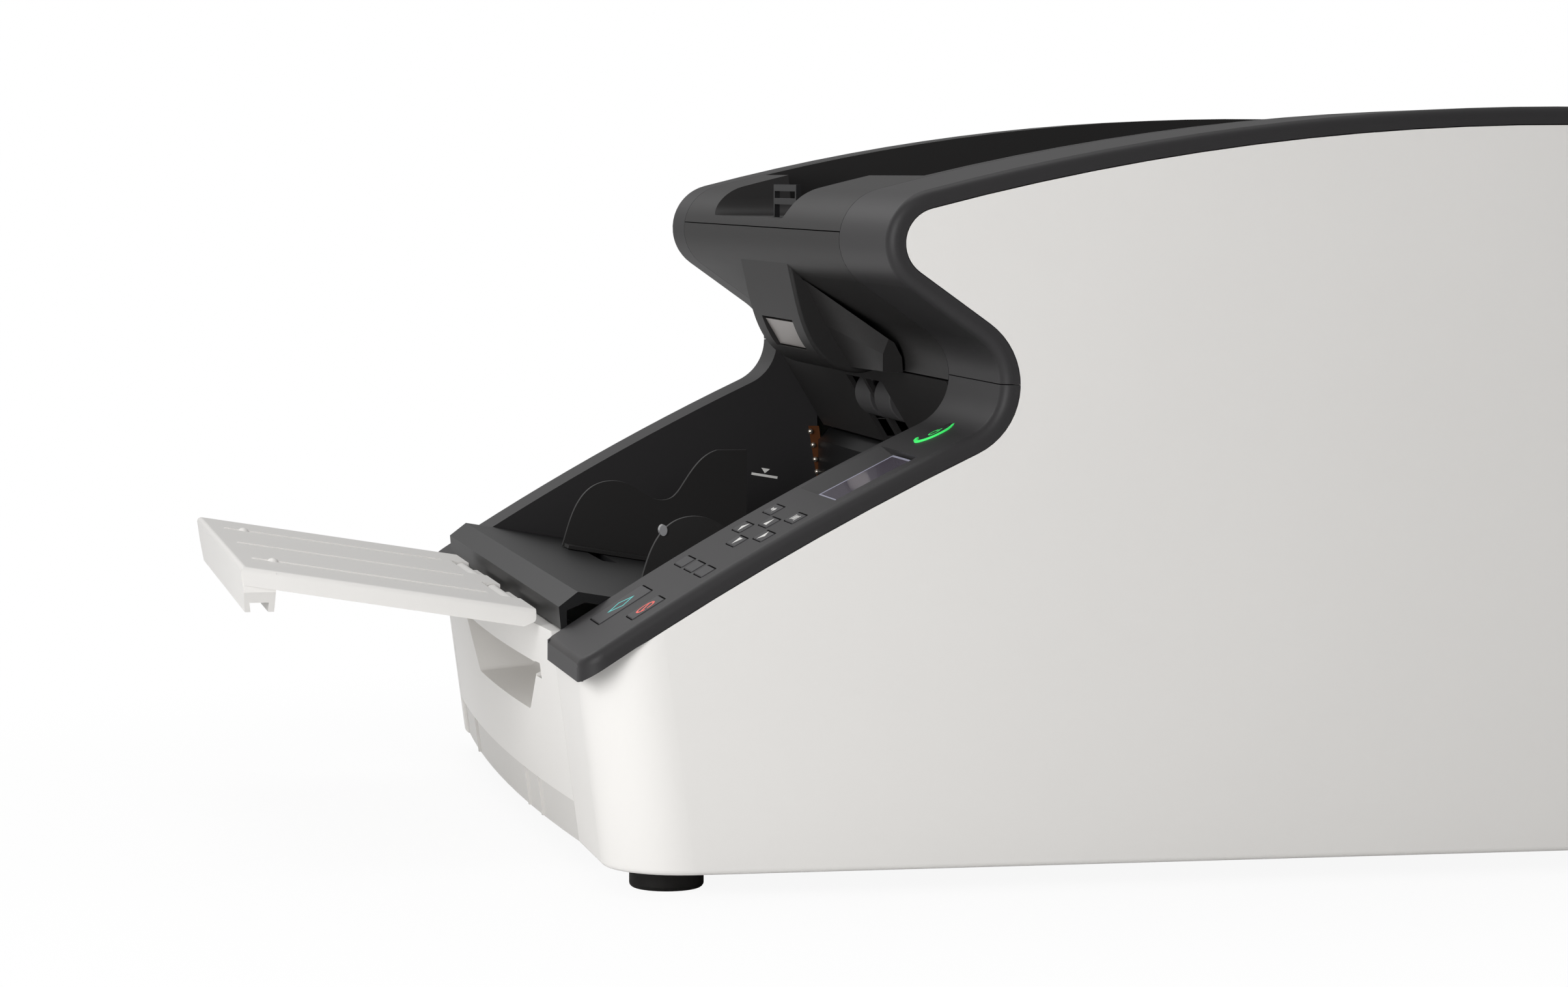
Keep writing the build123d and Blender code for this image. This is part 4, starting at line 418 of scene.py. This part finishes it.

# Pale line round the display's window, sunk below the arm's top: a painted highlight on the edge of the
# window's rim
rim_half_wide = 19.6
rim_half_long = 17.1
rim_line = 0.9
rim_low = -2.03
rim_high = -1.9
display = arm_frame(wall_right + display_inset + display_wide / 2, display_y)
rim_path = rectangle(-rim_half_wide, -rim_half_long, rim_half_wide, rim_half_long)
rim = line_shape(rim_path, rim_line, display, rim_low, rim_high, closed=True)
make_piece("window_rim", [rim], rim_highlight, "chassis")

# Contact strip with four studs on the left inner wall, as places (y, z)
strip_thick = 0.25
stud_radius = 1.5
strip = [(185.6, 133.0), (189.9, 134.5), (186.4, 160.0), (181.0, 160.0)]
make_piece("contact_strip", [flat_shape(strip, wall_frame(wall_left), 0.0, strip_thick)], copper, "chassis")
studs = [(182.2, 157.2), (183.6, 150.4), (184.7, 143.2), (185.7, 137.0)]
domes = [dome_shape((wall_left + strip_thick, y, z), stud_radius) for y, z in studs]
make_piece("contact_studs", domes, stud_metal, "chassis", smooth=True)

# Size mark on the left inner wall, along the table's slope: a triangle over a bar
mark_y = 158.8
mark_z = 135.3
mark_thick = 0.05
slope = math.radians(table_slope)
down_table = np.array((0.0, math.cos(slope), -math.sin(slope)))
off_table = np.array((0.0, math.sin(slope), math.cos(slope)))
beside_table = (np.array((wall_left, mark_y, mark_z)), down_table, off_table, across_x)
marks = [[(0.0, 1.2), (2.2, 3.6), (-2.2, 3.6)], rectangle(-6.7, -0.6, 6.7, 0.6)]
mark_shapes = [flat_shape(mark, beside_table, 0.0, mark_thick) for mark in marks]
make_piece("size_mark", mark_shapes, print_white, "chassis")

# Small guard behind the eject stopper: two posts with a top plate and a bar between them
guard_x = -26.0
guard_y = 132.6
guard_half = 25.0
guard_post = 2.4
guard_plate = 3.0
guard_inner = guard_half - guard_post
guard_foot = 265.4
guard_top = 280.4
guard_bar_low = 271.4
guard_bar_high = 274.2
guard_face = (np.array((guard_x, guard_y, 0.0)), across_x, up_z, -back_y)
guard_bars = [
    rectangle(-guard_half, guard_foot, -guard_inner, guard_top),
    rectangle(guard_inner, guard_foot, guard_half, guard_top),
    rectangle(-guard_inner, guard_top - guard_plate, guard_inner, guard_top),
    rectangle(-guard_inner, guard_bar_low, guard_inner, guard_bar_high),
]
guard_shapes = [flat_shape(bar, guard_face, -guard_post / 2, guard_post / 2) for bar in guard_bars]
make_piece("stopper_guard", guard_shapes, dark_guide, "upper_unit")

# Clear oval tab at the front of the right guide, as places (y, z)
tab_left = 79.4
tab_wide = 4.2
tab_y = 56.4
tab_z = 132.7
tab_half_long = 1.7
tab_half_high = 2.4
turn = np.linspace(0.0, 2 * np.pi, 24, endpoint=False)
tab = np.stack((tab_y + tab_half_long * np.cos(turn), tab_z + tab_half_high * np.sin(turn)), axis=1)
make_piece("guide_tab", [flat_shape(tab, wall_frame(tab_left), 0.0, tab_wide)], tab_clear, "right_guide")

# Camera where the photograph was taken from. It looks square at the right side, turned towards the back by
# the heading, then down, then about its own line of sight by the roll.
heading = math.radians(11.742)
lowered = math.radians(4.249)
roll = math.radians(0.30)
camera_place = (1.878, -0.26395 + drawing_y, 0.28422)
level = np.array((math.sin(heading), math.cos(heading), 0.0))
look = np.array((-math.cos(heading), math.sin(heading), 0.0)) * math.cos(lowered) - up_z * math.sin(lowered)
square = np.cross(level, look)
right = math.cos(roll) * level + math.sin(roll) * square
up = math.cos(roll) * square - math.sin(roll) * level
camera_data = bpy.data.cameras.new("camera")
camera_data.sensor_fit = "HORIZONTAL"
camera_data.sensor_width = 36.0
camera_data.lens = 98.028
camera_data.clip_start = 0.05
camera_data.clip_end = 60.0
camera = bpy.data.objects.new("camera", camera_data)
bpy.context.scene.collection.objects.link(camera)
turned = Matrix((right, up, -look)).transposed().to_4x4()
turned.translation = Vector(camera_place)
camera.matrix_world = turned
bpy.context.scene.camera = camera


def soft_lamp(name, stand, aim, size, power):
    """A square lamp that stands at one point and shines at another."""
    data = bpy.data.lights.new(name, "AREA")
    data.shape = "SQUARE"
    data.size = size
    data.energy = power
    lamp = bpy.data.objects.new(name, data)
    bpy.context.scene.collection.objects.link(lamp)
    lamp.location = stand
    lamp.rotation_euler = (Vector(aim) - Vector(stand)).to_track_quat("-Z", "Y").to_euler()


soft_lamp("front_lamp", stand=(1.15, -1.30, 0.55), aim=(0.15, -0.15, 0.12), size=0.9, power=15.8)
soft_lamp("top_lamp", stand=(-0.3, -0.3, 1.9), aim=(0.0, 0.0, 0.2), size=1.2, power=9.0)
soft_lamp("left_lamp", stand=(-1.5, -0.9, 1.2), aim=(0.0, -0.1, 0.2), size=0.9, power=4.0)

white = (1.0, 1.0, 1.0, 1.0)


def seen_share(tree):
    """A value that is 1 for rays from the camera or through glass, and 0 for all others."""
    path = tree.nodes.new("ShaderNodeLightPath")
    seen = tree.nodes.new("ShaderNodeMath")
    seen.operation = "MAXIMUM"
    tree.links.new(path.outputs["Is Camera Ray"], seen.inputs[0])
    tree.links.new(path.outputs["Is Transmission Ray"], seen.inputs[1])
    return seen.outputs["Value"]


def mix_to_surface(tree, share, lighting, shown, output):
    """Send the lighting shader to the output, or the shown one, by share."""
    mix = tree.nodes.new("ShaderNodeMixShader")
    tree.links.new(share, mix.inputs["Fac"])
    tree.links.new(lighting, mix.inputs[1])
    tree.links.new(shown, mix.inputs[2])
    tree.links.new(mix.outputs["Shader"], output.inputs["Surface"])


# World: soft light on the scanner, and plain white where it is seen
world = bpy.data.worlds.new("studio")
bpy.context.scene.world = world
world.use_nodes = True
sky = world.node_tree
sky_light = sky.nodes["Background"]
set_inputs(sky_light, {"Color": white, "Strength": 0.40})
sky_seen = sky.nodes.new("ShaderNodeBackground")
set_inputs(sky_seen, {"Color": white, "Strength": 1.0})
sky_output = sky.nodes["World Output"]
mix_to_surface(sky, seen_share(sky), sky_light.outputs[0], sky_seen.outputs[0], sky_output)

# Pale floor that fades into the white background away from the scanner
floor_reach = 6.0
fade_start = 0.25
fade_end = 0.62
fade_least = 0.92
floor_mesh = bpy.data.meshes.new("floor")
floor_corners = [(x, y, 0.0) for x, y in rectangle(-floor_reach, -floor_reach, floor_reach, floor_reach)]
floor_mesh.from_pydata(floor_corners, [], [(0, 1, 2, 3)])
floor = bpy.data.objects.new("floor", floor_mesh)
bpy.context.scene.collection.objects.link(floor)
floor_finish = bpy.data.materials.new("floor")
floor_finish.use_nodes = True
tree = floor_finish.node_tree
tree.nodes.remove(tree.nodes["Principled BSDF"])
paper = tree.nodes.new("ShaderNodeBsdfDiffuse")
set_inputs(paper, {"Color": (0.86, 0.86, 0.86, 1.0)})
glow = tree.nodes.new("ShaderNodeEmission")
set_inputs(glow, {"Color": white, "Strength": 1.0})
floor_spot = tree.nodes.new("ShaderNodeTexCoord")
distance = tree.nodes.new("ShaderNodeVectorMath")
distance.operation = "LENGTH"
tree.links.new(floor_spot.outputs["Object"], distance.inputs[0])
fade = tree.nodes.new("ShaderNodeMapRange")
fade.interpolation_type = "SMOOTHSTEP"
set_inputs(fade, {"From Min": fade_start, "From Max": fade_end, "To Min": fade_least, "To Max": 1.0})
tree.links.new(distance.outputs["Value"], fade.inputs["Value"])
share = tree.nodes.new("ShaderNodeMath")
share.operation = "MULTIPLY"
tree.links.new(seen_share(tree), share.inputs[0])
tree.links.new(fade.outputs["Result"], share.inputs[1])
floor_output = tree.nodes["Material Output"]
mix_to_surface(tree, share.outputs["Value"], paper.outputs["BSDF"], glow.outputs["Emission"], floor_output)
floor_mesh.materials.append(floor_finish)

bpy.context.scene.view_settings.view_transform = "Standard"
